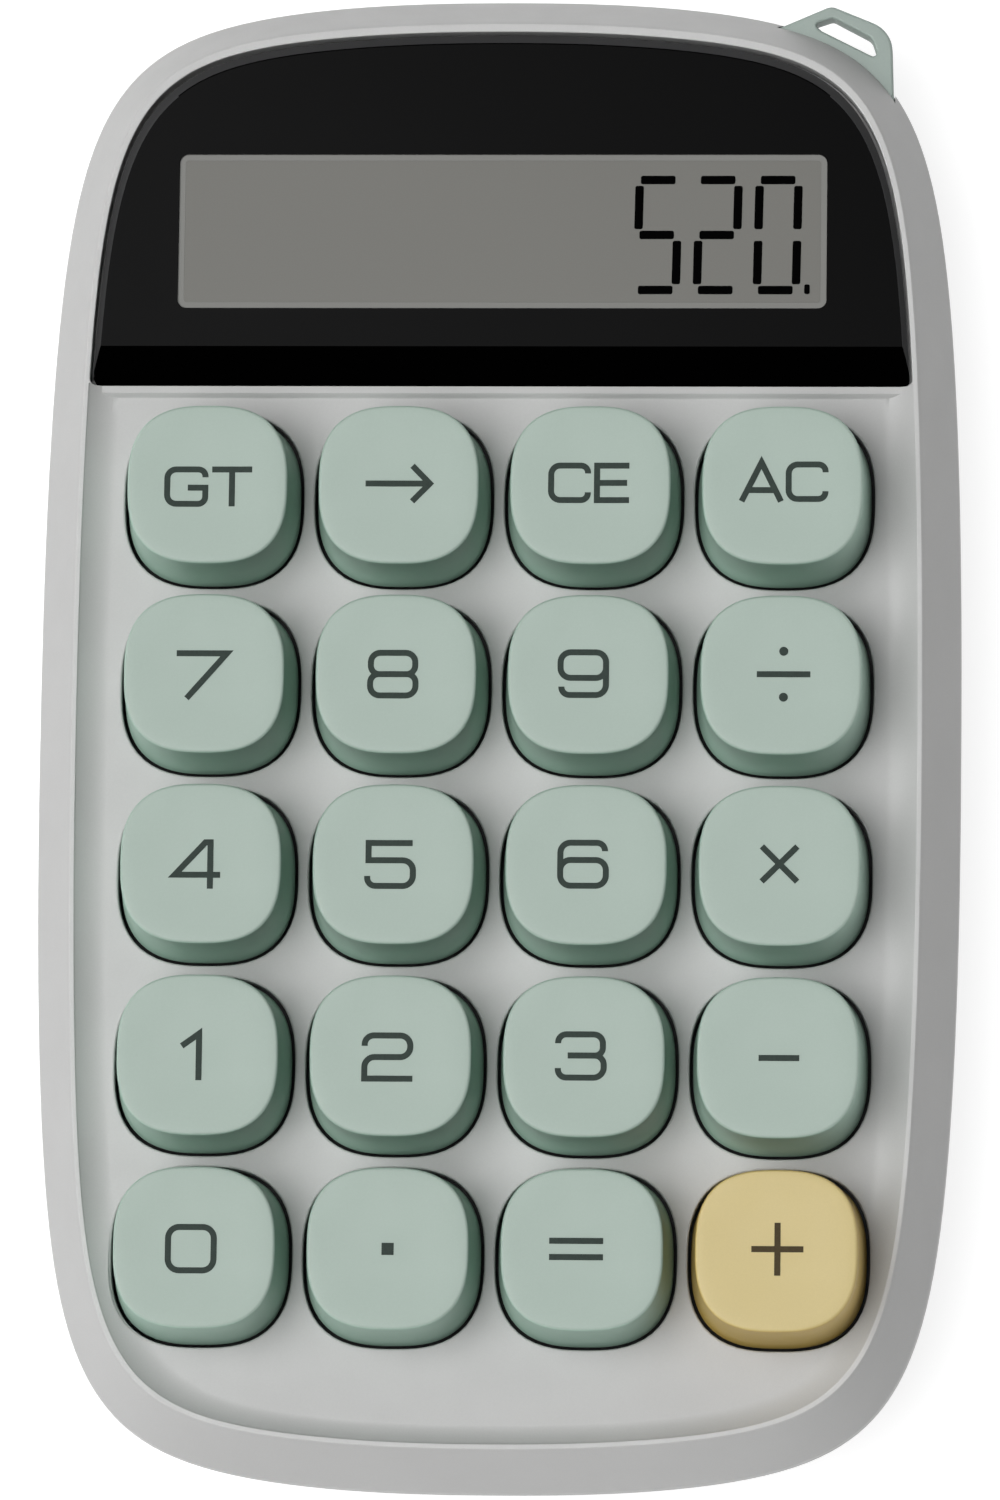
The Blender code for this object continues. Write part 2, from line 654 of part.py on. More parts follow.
def battery_door(finish):
    """Door in the underside; its origin is on the hinge line along its front lower edge."""
    x0, x1 = DOOR_HOLE_X[0] + DOOR_GAP, DOOR_HOLE_X[1] - DOOR_GAP
    hinge = door_hinge()
    depth = DOOR_HOLE_Y[1] - DOOR_GAP - hinge[1]
    top = FLOOR_Z - BASE_Z
    plate = box((x0, x1), (0, depth), (0, top))
    uprights = []
    tongues = []
    for x in DOOR_TAB_X:
        uprights.append(box((x, x + DOOR_TAB_WIDTH), (0.15, 1.65), (top - 0.5, top + 0.6)))
        tongues.append(box((x + 0.05, x + DOOR_TAB_WIDTH - 0.05), (-2.15, 1.6),
                           (top + 0.3, top + 1.1)))
    latch = box((-DOOR_LATCH_HALF_WIDTH, DOOR_LATCH_HALF_WIDTH), (depth - 0.95, depth - 0.35),
                (top - 0.5, top + 1.6))
    door = add_object("battery_door", plate, finish, hinge)
    return combine(door, (("UNION", merged(uprights)), ("UNION", merged(tongues)),
                          ("UNION", latch)))


def door_hinge():
    """A point on the battery door's hinge line."""
    return (0.0, DOOR_HOLE_Y[0] + DOOR_GAP, BASE_Z)


# ---------------------------------------------------------------- fasteners and feet

def housing_screw(name, spot, finish):
    """Pan-head screw driven up from below, with a hexagonal drive."""
    shoulder = HEAD_HOLE_TOP_Z - GAP
    levels = ((HEAD_RADIUS, 2.0), (HEAD_RADIUS, shoulder), (1.0, shoulder), (1.0, 14.2), (0.4, 14.7))
    screw = shifted(loft([circle(radius, z, 12) for radius, z in levels]), (*spot, 0))
    drive = shifted(loft([circle(1.1, z, 6) for z in (1.5, 2.9)]), (*spot, 0))
    return combine(add_object(name, screw, finish), (("DIFFERENCE", drive),))


def rubber_foot(name, spot, finish):
    """Round pad set in a shallow recess of the lower housing."""
    top = BASE_Z + FOOT_RECESS - GAP
    levels = ((FOOT_RADIUS - FOOT_EDGE, 0.0), (FOOT_RADIUS, FOOT_EDGE), (FOOT_RADIUS, top))
    pad = loft([circle(radius, z) for radius, z in levels])
    return add_object(name, shifted(pad, (*spot, 0)), finish)


def main():
    for old in list(bpy.data.objects):
        bpy.data.objects.remove(old)
    root = bpy.data.objects.new("calculator", None)
    bpy.context.collection.objects.link(root)

    shell = material("shell_plastic", (0.62, 0.62, 0.61), 0.45)
    base = material("base_plastic", (0.58, 0.58, 0.57), 0.5)
    black = material("black_acrylic", (0.008, 0.008, 0.009), 0.08)
    sage = material("sage_plastic", (0.38, 0.49, 0.42), 0.5)
    yellow = material("yellow_plastic", (0.68, 0.57, 0.25), 0.5)
    dark = material("dark_plastic", (0.03, 0.03, 0.035), 0.5)
    board = material("board_green", (0.03, 0.16, 0.08), 0.5)
    glass = material("lcd_grey", (0.20, 0.20, 0.175), 0.2)
    film = material("ribbon_film", (0.55, 0.30, 0.08), 0.4)
    steel = material("steel", (0.6, 0.6, 0.6), 0.3, 1.0)
    sleeve = material("battery_sleeve", (0.05, 0.10, 0.20), 0.35)
    rubber = material("foot_rubber", (0.04, 0.04, 0.04), 0.8)

    upper_housing(shell)
    lower_housing(base)
    display_lens(black)
    strap_loop(sage)
    keys(sage, yellow, dark)
    switch_block(dark)
    add_object("main_board", board_shape(BOARD_TOP_Z, BOARD_THICKNESS), board)
    add_object("lcd_panel", box((-LCD_HALF_WIDTH, LCD_HALF_WIDTH), LCD_Y,
                                (LCD_TOP_Z - LCD_THICKNESS, LCD_TOP_Z)), glass)
    lcd_ribbon(film)
    battery_cell(sleeve)
    battery_contact(steel)
    battery_spring(steel)
    battery_door(base)
    for name, screw_spot, foot_spot in zip(SCREW_NAMES, SCREW_SPOTS, FOOT_SPOTS):
        housing_screw("screw_" + name, screw_spot, steel)
        rubber_foot("foot_" + name, foot_spot, rubber)


main()
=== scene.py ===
# Looks of the desk calculator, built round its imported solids.
# Lengths are millimetres, and MM turns them into metres.
import math

import bpy
from mathutils import Matrix, Vector


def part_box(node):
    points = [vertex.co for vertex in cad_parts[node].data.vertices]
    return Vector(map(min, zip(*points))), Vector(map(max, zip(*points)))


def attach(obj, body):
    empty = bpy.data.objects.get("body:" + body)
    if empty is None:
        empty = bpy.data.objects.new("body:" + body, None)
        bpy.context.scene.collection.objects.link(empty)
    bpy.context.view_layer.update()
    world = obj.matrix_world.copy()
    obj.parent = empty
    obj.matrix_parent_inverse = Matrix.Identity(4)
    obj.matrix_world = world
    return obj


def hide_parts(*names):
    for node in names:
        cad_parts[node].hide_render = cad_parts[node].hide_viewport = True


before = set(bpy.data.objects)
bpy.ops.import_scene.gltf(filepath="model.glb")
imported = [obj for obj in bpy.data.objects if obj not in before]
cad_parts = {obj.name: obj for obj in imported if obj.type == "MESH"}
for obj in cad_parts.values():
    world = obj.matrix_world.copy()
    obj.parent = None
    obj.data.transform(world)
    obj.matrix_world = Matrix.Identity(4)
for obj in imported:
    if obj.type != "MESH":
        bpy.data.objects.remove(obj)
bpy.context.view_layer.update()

MM = 0.001


def span(node):
    """Lowest and highest corner of a solid, in millimetres."""
    return tuple(tuple(value / MM for value in corner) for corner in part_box(node))


def centre(node):
    """Middle of a solid, seen from above."""
    low, high = span(node)
    return (low[0] + high[0]) / 2, (low[1] + high[1]) / 2


# -------- sizes, from the frame

CASE_HALF_WIDTH, CASE_HALF_LENGTH, RIM_Z = span("upper_housing")[1]
(_, _, BASE_Z), (_, _, LOWER_TOP_Z) = span("lower_housing")
(_, LENS_FRONT_Y, LENS_BOTTOM_Z), (_, _, LENS_TOP_Z) = span("display_lens")
LCD_LOW, LCD_HIGH = span("lcd_panel")
DOOR_LOW, DOOR_HIGH = span("battery_door")
LOOP_LOW, LOOP_HIGH = span("strap_loop")
KEY_LOW, KEY_HIGH = span("keycap_5")
CELL_LOW, CELL_HIGH = span("battery_cell")
(_, _, SCREW_BOTTOM_Z), (_, _, SCREW_TOP_Z) = span("screw_front_left")

GAP = 0.3                        # between neighbouring solids
NARROW_GAP = 0.15                # round the strap loop and in front of the display
PARTING_Z = LOWER_TOP_Z + GAP
DECK_Z = RIM_Z - 1.3             # flat face round the keys
CEILING_Z = DECK_Z - 1.8         # its underside
FLOOR_Z = BASE_Z + 1.6           # inner face of the base
WALL = 2.0
CUT_ABOVE = 3.0                  # how far a cutting solid runs past what it cuts

# Case outline: n, k and m of case_point's formula, at its widest and at its rim
CASE_CURVE = (7.3, 0.68, 2.45)
RIM_CURVE = (7.4, 0.51, 2.24)
RIM_INSET = 4.1
RIM_HALF_THICKNESS = 0.25
RIM_EDGE = 0.12                  # radius of the rim's two edges
COVE_WIDTH = 3.0                 # the deck climbs to the rim over this width, as a parabola
COVE_STEPS = 16
COVE_FORWARD = 0.35              # share by which it is narrower at the front
CORNER_CROWDING = 0.15
CASE_SIDES = 224
LENS_SIDES = 150

# Display
DECK_TOP_Y = LENS_FRONT_Y - 1.1
LEDGE_Z = DECK_Z + 0.4
LEDGE_STEP = 0.6                 # run of the soft step from the deck up to the ledge
LENS_SLOPE = 3.8                 # run of the lens's sloping front
LENS_DROP = 0.72                 # how far the front sinks over that run
LENS_INSET = RIM_INSET + RIM_HALF_THICKNESS + GAP
LENS_CORNER = 0.6                # radius of its front corners
LENS_BEVEL = (0.5, 0.42)         # width at the sides, depth
BEVEL_TILT = (0.5, 0.97)         # height of the normals of its bevel's faces
REAR_EXTRA = 0.3                 # the rim is this much wider at the rear
BEVEL_EXTRA = 0.45               # and the bevel this much
WINDOW_X = (-32.6, 32.6)
WINDOW_Y = (42.7, 58.5)
WINDOW_CORNER = 0.9
SCREEN_Z = LENS_TOP_Z - 0.22     # its face lies a little below the lens's
SCREEN_BORDER = 0.6
SCREEN_PLAY = 0.02               # gap between the border and the window's edge
SEGMENT_Z = (SCREEN_Z - 0.02, SCREEN_Z + 0.03)
DIGIT_HALF_WIDTH = 1.95          # to the middle of the upright segments
DIGIT_HALF_HEIGHT = 5.64
DIGIT_MIDDLE_Y = 50.25
DIGIT_SLANT = math.tan(math.radians(1.0))
SEGMENT_WIDTH = 0.86
SEGMENT_SHORT = (0.11, 0.32, 0.60)  # gaps left of, right of and beyond a bar, to the corners
POINT_BOX = ((30.36, 30.92), (44.2, 45.2))
DIGITS = ((15.63, "afgcd"), (21.65, "abged"), (27.67, "abcdef"))

# Strap loop: corners of its outline and of its slot, with their radii
LOOP_OUTLINE = [
    (24.9, 71.8, 0.3), (32.75, 75.2, 1.3), (38.9, 72.65, 3.2), (39.15, 64.35, 0.3),
    (34.0, 64.35, 0.5), (27.5, 68.35, 0.5),
]
LOOP_SLOT = [
    (31.0, 73.3, 0.3), (32.95, 73.95, 0.6), (36.85, 71.85, 1.1), (37.6, 69.65, 0.35),
    (31.8, 72.6, 0.35),
]

# Keys
KEY_TOP_Z = KEY_HIGH[2] - 0.03   # the printed legends end at the solid's top
KEY_BASE_HALF = (KEY_HIGH[0] - KEY_LOW[0]) / 2 + 0.2
KEY_TOP_HALF = 7.98
KEY_EDGE = 0.32                  # radius of the edge round the top
KEY_DISH = 0.09                  # how far the middle of the top is sunk
KEY_WAIST = 0.2                  # how far its sides are drawn in halfway up
KEY_FOOT_EDGE = 0.12             # chamfer at its open lower end
KEY_WALL = 1.3
KEY_ROOF = 1.5
KEY_CURVE = 2.7
KEY_SIDES = 96
KEY_HOLE_HALF = 9.0
KEY_HOLE_EDGE = 0.22
KEY_HOLE_SIDES = 64
LEGEND_SKEW = 0.0055             # the legends climb this much towards the right
DIGIT_LEFT = 0.3                 # the digits sit this far left of the middle
LEGEND_NUDGES = {                # further millimetres right and up
    "gt": (0.15, -0.1), "arrow": (0.0, 0.15), "ce": (-0.1, 0.15), "ac": (0.2, 0.2),
    "divide": (0.25, -0.1), "minus": (0.1, -0.2), "equals": (-0.55, 0.0), "9": (-0.2, 0.0),
    "2": (0.0, -0.1), "plus": (0.1, 0.0),
}
INK_HEIGHT = 0.03
INK_WIDTH = 0.6

# Underside
FLAT_INSET = 6.4                 # flat within this inset, so that its shading stays even
DOOR_FRONT_Y = 48.35             # the slab's edge beside the hinge
DOOR_GAP = 0.35
TAB_X = (-16, 12)                # left ends of the door's two hinge tabs
TAB_WIDTH = 4
BAY_X = (CELL_LOW[0] - 2.85, CELL_HIGH[0] + 1.0)  # room for the spring, and for the contact
BAY_Y = (45.6, 59.1)
BAY_WALL = 1.2
BAY_TOP_Z = 9.0
SCREW_RECESS = 2.8               # radii
FOOT_RECESS = 4.3

KEY_NAMES = [node[len("keycap_"):] for node in sorted(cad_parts) if node.startswith("keycap_")]
CORNERS = ("front_left", "front_right", "rear_left", "rear_right")


# -------- outlines

def rounded(corners, closed=False, steps=6):
    """Points of a line through corners (x, y, radius), each rounded by an arc."""
    points = []
    for i, (x, y, radius) in enumerate(corners):
        if radius == 0 or (not closed and i in (0, len(corners) - 1)):
            points.append((x, y))
            continue
        before, after = corners[i - 1], corners[(i + 1) % len(corners)]
        a = math.atan2(before[1] - y, before[0] - x)
        b = math.atan2(after[1] - y, after[0] - x)
        half = ((b - a + math.pi) % (2 * math.pi) - math.pi) / 2
        reach = radius / abs(math.sin(half))
        middle = (x + reach * math.cos(a + half), y + reach * math.sin(a + half))
        sweep = math.copysign(math.pi / 2 - abs(half), half)
        for step in range(steps + 1):
            turn = a + half + math.pi + sweep * (1 - 2 * step / steps)
            points.append((middle[0] + radius * math.cos(turn), middle[1] + radius * math.sin(turn)))
    return points


def smooth_line(points, steps=5):
    """Points of a Catmull-Rom curve through the given ones."""
    result = []
    for i in range(len(points) - 1):
        p0, p1, p2 = points[max(i - 1, 0)], points[i], points[i + 1]
        p3 = points[min(i + 2, len(points) - 1)]
        for step in range(steps):
            t = step / steps
            result.append(tuple(
                0.5 * (2 * b + (c - a) * t + (2 * a - 5 * b + 4 * c - d) * t * t
                       + (3 * b - a - 3 * c + d) * t ** 3)
                for a, b, c, d in zip(p0, p1, p2, p3)))
    return result + [points[-1]]


def case_point(inset, turn):
    """Point of u^n + v^n + k (u v)^m = 1, the outline's curve; turn runs once round it."""
    angle = turn + CORNER_CROWDING * math.sin(4 * turn)
    blend = min(max(inset / RIM_INSET, 0.0), 1.0)
    power, mix, cross = (a + (b - a) * blend for a, b in zip(CASE_CURVE, RIM_CURVE))
    c, s = math.cos(angle), math.sin(angle)
    low, high = 0.5, 1.5
    for _ in range(30):
        radius = (low + high) / 2
        u, v = abs(radius * c), abs(radius * s)
        if u ** power + v ** power + mix * (u * v) ** cross > 1:
            high = radius
        else:
            low = radius
    return ((CASE_HALF_WIDTH - inset) * radius * c, (CASE_HALF_LENGTH - inset) * radius * s)


def crossing(inset, y):
    """Turn at which the outline's right side reaches y."""
    low, high = -math.pi / 2, math.pi / 2
    for _ in range(30):
        turn = (low + high) / 2
        if case_point(inset, turn)[1] > y:
            high = turn
        else:
            low = turn
    return turn


def case_arc(inset, start, end, sides, z):
    """Points of the case outline between two turns, both ends included."""
    turns = [start + (end - start) * i / (sides - 1) for i in range(sides)]
    return [(*case_point(inset, turn), z) for turn in turns]


def case_ring(inset, z):
    """The whole outline, drawn in by inset."""
    return case_arc(inset, 0.0, 2 * math.pi, CASE_SIDES + 1, z)[:-1]


def upper_ring(inset, y_cut, z):
    """The outline's part behind y_cut, with rounded front corners."""
    start = crossing(inset, y_cut + LENS_CORNER)
    points = case_arc(inset, start, math.pi - start, LENS_SIDES, z)
    across = points[0][0] - LENS_CORNER
    turns = [math.pi / 2 * step / 5 for step in range(1, 6)]
    right = [(across + LENS_CORNER * math.cos(turn),
              y_cut + LENS_CORNER * (1 - math.sin(turn)), z) for turn in turns]
    return points + [(-x, y, z) for x, y, z in right] + right[::-1]


def rear_ring(inset, extra, z, front=LENS_FRONT_Y):
    """The outline's part behind front, drawn in further at the rear than at the sides."""
    return [(x, y - extra, z) for x, y, _ in upper_ring(inset, front + extra, z)]


def strip_ring(inset, y_range, z):
    """The outline's part between two values of y."""
    start, end = (crossing(inset, y) for y in y_range)
    right = case_arc(inset, start, end, 12, z)
    return right + [(-x, y, z) for x, y, z in reversed(right)]


def lower_ring(inset, y_cut, z, forward=0.0):
    """The outline's part in front of y_cut, its front end moved forward."""
    start = crossing(inset, y_cut + forward)
    arc = case_arc(inset, math.pi - start, 2 * math.pi + start, CASE_SIDES, z)
    return [(x, y - forward, z) for x, y, _ in arc]


def squircle(half, z, sides=KEY_SIDES):
    """Ring of a square with strongly rounded sides and corners."""
    points = []
    for i in range(sides):
        angle = 2 * math.pi * (i + 0.5) / sides
        c, s = math.cos(angle), math.sin(angle)
        radius = half / (abs(c) ** KEY_CURVE + abs(s) ** KEY_CURVE) ** (1 / KEY_CURVE)
        points.append((radius * c, radius * s, z))
    return points


def circle(radius, z):
    """Ring with its middle on the Z axis."""
    sides = 48
    angles = [2 * math.pi * i / sides for i in range(sides)]
    return [(radius * math.cos(a), radius * math.sin(a), z) for a in angles]


def quarter(steps):
    """Pairs (1 - cos, 1 - sin) over a quarter turn: a unit edge's inset and drop."""
    angles = [math.pi / 2 * step / steps for step in range(steps + 1)]
    return [(1 - math.cos(angle), 1 - math.sin(angle)) for angle in angles]


def rectangle(x_range, y_range, z, radius=0.0, steps=6):
    """Ring round an upright rectangle with rounded corners."""
    (x0, x1), (y0, y1) = x_range, y_range
    corners = [(x0, y0, radius), (x1, y0, radius), (x1, y1, radius), (x0, y1, radius)]
    return [(x, y, z) for x, y in rounded(corners, True, steps)]


def grown(corners, distance):
    """Corners (x, y, radius) of a polygon moved out by a distance, negative to shrink it."""
    area = sum(a[0] * b[1] - b[0] * a[1] for a, b in zip(corners, corners[1:] + corners[:1]))
    side = 1 if area > 0 else -1
    result = []
    for i, (x, y, radius) in enumerate(corners):
        before, after = corners[i - 1], corners[(i + 1) % len(corners)]
        first = math.atan2(y - before[1], x - before[0]) - side * math.pi / 2
        second = math.atan2(after[1] - y, after[0] - x) - side * math.pi / 2
        middle = math.atan2(math.sin(first) + math.sin(second), math.cos(first) + math.cos(second))
        reach = distance / math.cos(middle - first)
        result.append((x + reach * math.cos(middle), y + reach * math.sin(middle),
                       max(radius + distance, 0.02)))
    return result


# -------- solids

def loft(rings):
    """Closed solid through rings of equal length, with flat ends."""
    count = len(rings[0])
    vertices = [point for ring in rings for point in ring]
    faces = [tuple(reversed(range(count)))]
    for level in range(len(rings) - 1):
        base = level * count
        for i in range(count):
            a, b = base + i, base + (i + 1) % count
            faces.append((a, b, b + count, a + count))
    faces.append(tuple(range(len(vertices) - count, len(vertices))))
    return vertices, faces


def polygon_loft(levels):
    """Closed solid through outlines given as (corners, z), each drawn anticlockwise."""
    rings = []
    for corners, z in levels:
        ring = [(x, y, z) for x, y in rounded(corners, True, 8)]
        if sum(a[0] * b[1] - b[0] * a[1] for a, b in zip(ring, ring[1:] + ring[:1])) < 0:
            ring.reverse()
        rings.append(ring)
    return loft(rings)


def box(x_range, y_range, z_range):
    """Upright block."""
    return loft([rectangle(x_range, y_range, z) for z in z_range])


def shifted(shape, offset):
    """The same solid somewhere else."""
    vertices, faces = shape
    return [tuple(a + b for a, b in zip(vertex, offset)) for vertex in vertices], faces


def merged(shapes):
    """Several solids as one mesh."""
    vertices, faces = [], []
    for part_vertices, part_faces in shapes:
        start = len(vertices)
        vertices += part_vertices
        faces += [tuple(start + i for i in face) for face in part_faces]
    return vertices, faces


def make_mesh(name, shape, finish):
    """Mesh of a solid, in metres."""
    vertices, faces = shape
    mesh = bpy.data.meshes.new(name)
    mesh.from_pydata([[value * MM for value in vertex] for vertex in vertices], [], faces)
    mesh.materials.append(finish)
    return mesh


def place(name, mesh, location=(0, 0, 0)):
    """Object showing a mesh."""
    result = bpy.data.objects.new(name, mesh)
    result.location = [value * MM for value in location]
    bpy.context.scene.collection.objects.link(result)
    return result


def build(name, shape, finish, location=(0, 0, 0)):
    """Object with a mesh of its own."""
    return place(name, make_mesh(name, shape, finish), location)


def combine(target, operations):
    """Applies Boolean operations, given as (operation, solid), to an object."""
    tools = []
    for operation, shape in operations:
        tool = build("tool", shape, target.data.materials[0])
        modifier = target.modifiers.new(operation.title(), "BOOLEAN")
        modifier.operation = operation
        modifier.solver = "MANIFOLD"
        modifier.object = tool
        tools.append(tool)
    bpy.context.view_layer.update()
    evaluated = target.evaluated_get(bpy.context.evaluated_depsgraph_get())
    result = bpy.data.meshes.new_from_object(evaluated)
    target.modifiers.clear()
    target.data = result
    for tool in tools:
        bpy.data.objects.remove(tool)


def soften(piece, angle=32):
    """Smooth shading that keeps flat faces flat and sharp edges sharp."""
    piece.data.shade_smooth()
    piece.data.set_sharp_from_angle(angle=math.radians(angle))
    modifier = piece.modifiers.new("Flat faces", "WEIGHTED_NORMAL")
    modifier.mode = "FACE_AREA"
    modifier.weight = 80
    modifier.keep_sharp = True


def dress(piece, body, slot, *nodes, angle=32):
    """Final shading of a piece, its body and the solids that it stands for; slot is not used."""
    soften(piece, angle)
    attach(piece, body)
    if nodes:
        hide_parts(*nodes)


# -------- materials

class Surface:
    """Material whose nodes are added one by one."""

    def __init__(self, name, color, roughness, metallic=0.0, specular=0.5):
        self.material = bpy.data.materials.new(name)
        self.material.use_nodes = True
        self.material.diffuse_color = (*color, 1.0)
        self.tree = self.material.node_tree
        self.shader = self.tree.nodes["Principled BSDF"]
        self.color = color
        self.set("Base Color", (*color, 1.0))
        self.set("Roughness", roughness)
        self.set("Metallic", metallic)
        self.set("Specular IOR Level", specular)
        self.coordinates = self.node("ShaderNodeTexCoord").outputs["Object"]

    def set(self, socket, value):
        self.shader.inputs[socket].default_value = value

    def node(self, kind, **settings):
        result = self.tree.nodes.new(kind)
        for key, value in settings.items():
            setattr(result, key, value)
        return result

    def link(self, output, target):
        self.tree.links.new(output, target)

    def noise(self, grain, detail=2.0, stretch=(1, 1, 1)):
        """Noise with lumps of about grain millimetres."""
        mapping = self.node("ShaderNodeMapping")
        mapping.inputs["Scale"].default_value = stretch
        self.link(self.coordinates, mapping.inputs["Vector"])
        texture = self.node("ShaderNodeTexNoise")
        texture.inputs["Scale"].default_value = 1 / (grain * MM)
        texture.inputs["Detail"].default_value = detail
        self.link(mapping.outputs["Vector"], texture.inputs["Vector"])
        return texture.outputs["Fac"]

    def ranged(self, value, low, high, start=0.3, end=0.7):
        """Value spread from low to high."""
        result = self.node("ShaderNodeMapRange")
        result.inputs["From Min"].default_value = start
        result.inputs["From Max"].default_value = end
        result.inputs["To Min"].default_value = low
        result.inputs["To Max"].default_value = high
        self.link(value, result.inputs["Value"])
        return result.outputs["Result"]

    def shaded(self, value, color=None):
        """The base colour times a value."""
        mix = self.node("ShaderNodeVectorMath", operation="SCALE")
        if color is None:
            mix.inputs[0].default_value = self.color
        else:
            self.link(color, mix.inputs[0])
        self.link(value, mix.inputs["Scale"])
        return mix.outputs["Vector"]

    def mixed(self, share, first, second):
        """First colour where share is 0, second where it is 1."""
        mix = self.node("ShaderNodeMix", data_type="RGBA")
        self.link(share, mix.inputs["Factor"])
        for socket, value in ((mix.inputs[6], first), (mix.inputs[7], second)):  # A and B
            if isinstance(value, tuple):
                socket.default_value = (*value, 1.0)
            else:
                self.link(value, socket)
        return mix.outputs[2]

    def product(self, first, second):
        """Two values multiplied."""
        both = self.node("ShaderNodeMath", operation="MULTIPLY")
        self.link(first, both.inputs[0])
        self.link(second, both.inputs[1])
        return both.outputs[0]

    def z_of(self, vector):
        """The Z of a vector output."""
        parts = self.node("ShaderNodeSeparateXYZ")
        self.link(vector, parts.inputs[0])
        return parts.outputs["Z"]

    def bump(self, height, depth):
        """Raises the surface by height times depth millimetres."""
        bump = self.node("ShaderNodeBump")
        bump.inputs["Strength"].default_value = 1.0
        bump.inputs["Distance"].default_value = depth * MM
        self.link(height, bump.inputs["Height"])
        self.link(bump.outputs["Normal"], self.shader.inputs["Normal"])
        return self


def moulded(name, color, roughness, grain, depth, mottle=0.015, edge=0.06, painted_shade_wall=None, rim_z=None):
    """Moulded plastic: fine grain, faint cloudiness, edges painted a little brighter as a highlight.

    A wall colour is painted shade for steep faces, darker and more saturated than the tops that
    look up, and a rim height moves the painted highlight from sharp edges onto the rim's top.
    """
    surface = Surface(name, color, roughness)
    cloud = surface.ranged(surface.noise(9.0, 3.0), 1 - mottle, 1 + mottle)
    speck = surface.ranged(surface.noise(grain, 1.0), 1 - mottle, 1 + mottle)
    # painted highlight: the rim's top, or else sharp edges, made lighter by up to edge
    if rim_z:
        height = surface.z_of(surface.coordinates)
        painted_highlight = surface.ranged(height, 0.0, edge, (rim_z - 0.15) * MM, rim_z * MM)
    else:
        sharpness = surface.node("ShaderNodeNewGeometry").outputs["Pointiness"]
        painted_highlight = surface.ranged(sharpness, 0.0, edge, 0.52, 0.60)
    total = surface.node("ShaderNodeMath", operation="ADD")
    surface.link(surface.product(cloud, speck), total.inputs[0])
    surface.link(painted_highlight, total.inputs[1])
    base = None
    # painted shade: steep faces take the wall colour, and faces that look up take the base colour
    if painted_shade_wall:
        normal = surface.node("ShaderNodeTexCoord").outputs["Normal"]
        base = surface.mixed(surface.ranged(surface.z_of(normal), 0.0, 1.0, 0.35, 0.9), painted_shade_wall, color)
    surface.link(surface.shaded(total.outputs[0], base), surface.shader.inputs["Base Color"])
    rough = surface.ranged(surface.noise(3.0, 4.0), roughness - 0.04, roughness + 0.04)
    surface.link(rough, surface.shader.inputs["Roughness"])
    return surface.bump(surface.noise(grain, 2.0), depth).material


def acrylic(name, color, roughness, specular):
    """Black acrylic with the faintest haze."""
    surface = Surface(name, color, roughness, specular=specular)
    haze = surface.ranged(surface.noise(14.0, 5.0), roughness - 0.03, roughness + 0.03)
    surface.link(haze, surface.shader.inputs["Roughness"])
    tint = surface.ranged(surface.noise(22.0, 3.0), 0.9, 1.1)
    surface.link(surface.shaded(tint), surface.shader.inputs["Base Color"])
    return surface.bump(surface.noise(6.0, 2.0), 0.0008).material


def liquid_crystal(name, color):
    """Grey reflective film with a faint sheen and a fine sparkle."""
    surface = Surface(name, color, 0.38, specular=0.3)
    sparkle = surface.ranged(surface.noise(0.12, 1.0), 0.975, 1.025)
    drift = surface.ranged(surface.noise(30.0, 1.0), 0.985, 1.015)
    surface.link(surface.shaded(surface.product(sparkle, drift)), surface.shader.inputs["Base Color"])
    return surface.bump(surface.noise(0.15, 1.0), 0.001).material


def ink(name, color, roughness=0.55, specular=0.15):
    """Thin printed ink, a little uneven."""
    surface = Surface(name, color, roughness, specular=specular)
    uneven = surface.ranged(surface.noise(0.25, 3.0), 0.9, 1.12)
    surface.link(surface.shaded(uneven), surface.shader.inputs["Base Color"])
    return surface.bump(surface.noise(0.2, 2.0), 0.002).material


def plated(name):
    """Bright plated steel with drawn lines."""
    surface = Surface(name, (0.62, 0.61, 0.59), 0.3, metallic=1.0)
    lines = surface.noise(0.1, 3.0, stretch=(1, 1, 0.15))
    surface.link(surface.ranged(lines, 0.22, 0.42), surface.shader.inputs["Roughness"])
    surface.link(surface.shaded(surface.ranged(lines, 0.9, 1.05)),
                 surface.shader.inputs["Base Color"])
    return surface.bump(lines, 0.004).material


def rubber(name):
    """Matt rubber with a dusty bloom."""
    surface = Surface(name, (0.035, 0.035, 0.037), 0.8, specular=0.25)
    bloom = surface.ranged(surface.noise(1.2, 4.0), 0.8, 1.6)
    surface.link(surface.shaded(bloom), surface.shader.inputs["Base Color"])
    return surface.bump(surface.noise(0.3, 3.0), 0.02).material


def circuit_board(name):
    """Solder mask over a faint pattern of tracks."""
    mask, track = (0.02, 0.14, 0.06), (0.05, 0.26, 0.11)
    surface = Surface(name, mask, 0.35)
    bricks = surface.node("ShaderNodeTexBrick", offset=0.37)
    bricks.inputs["Scale"].default_value = 1 / (3.0 * MM)
    bricks.inputs["Mortar Size"].default_value = 0.03
    surface.link(surface.coordinates, bricks.inputs["Vector"])
    surface.link(surface.mixed(bricks.outputs["Fac"], mask, track), surface.shader.inputs["Base Color"])
    return surface.bump(bricks.outputs["Fac"], 0.03).material


WAVE_LENGTH = 0.31               # of a wave texture whose scale is 1


def striped(name, first, second, pitch, roughness):
    """Even stripes across X, for the ribbon's tracks and the cell's printed sleeve."""
    surface = Surface(name, first, roughness)
    wave = surface.node("ShaderNodeTexWave", bands_direction="X", wave_profile="SIN")
    wave.inputs["Scale"].default_value = WAVE_LENGTH / (pitch * MM)
    surface.link(surface.coordinates, wave.inputs["Vector"])
    share = surface.ranged(wave.outputs["Fac"], 0.0, 1.0, 0.45, 0.55)
    surface.link(surface.mixed(share, first, second), surface.shader.inputs["Base Color"])
    return surface.bump(surface.noise(0.4, 2.0), 0.004).material


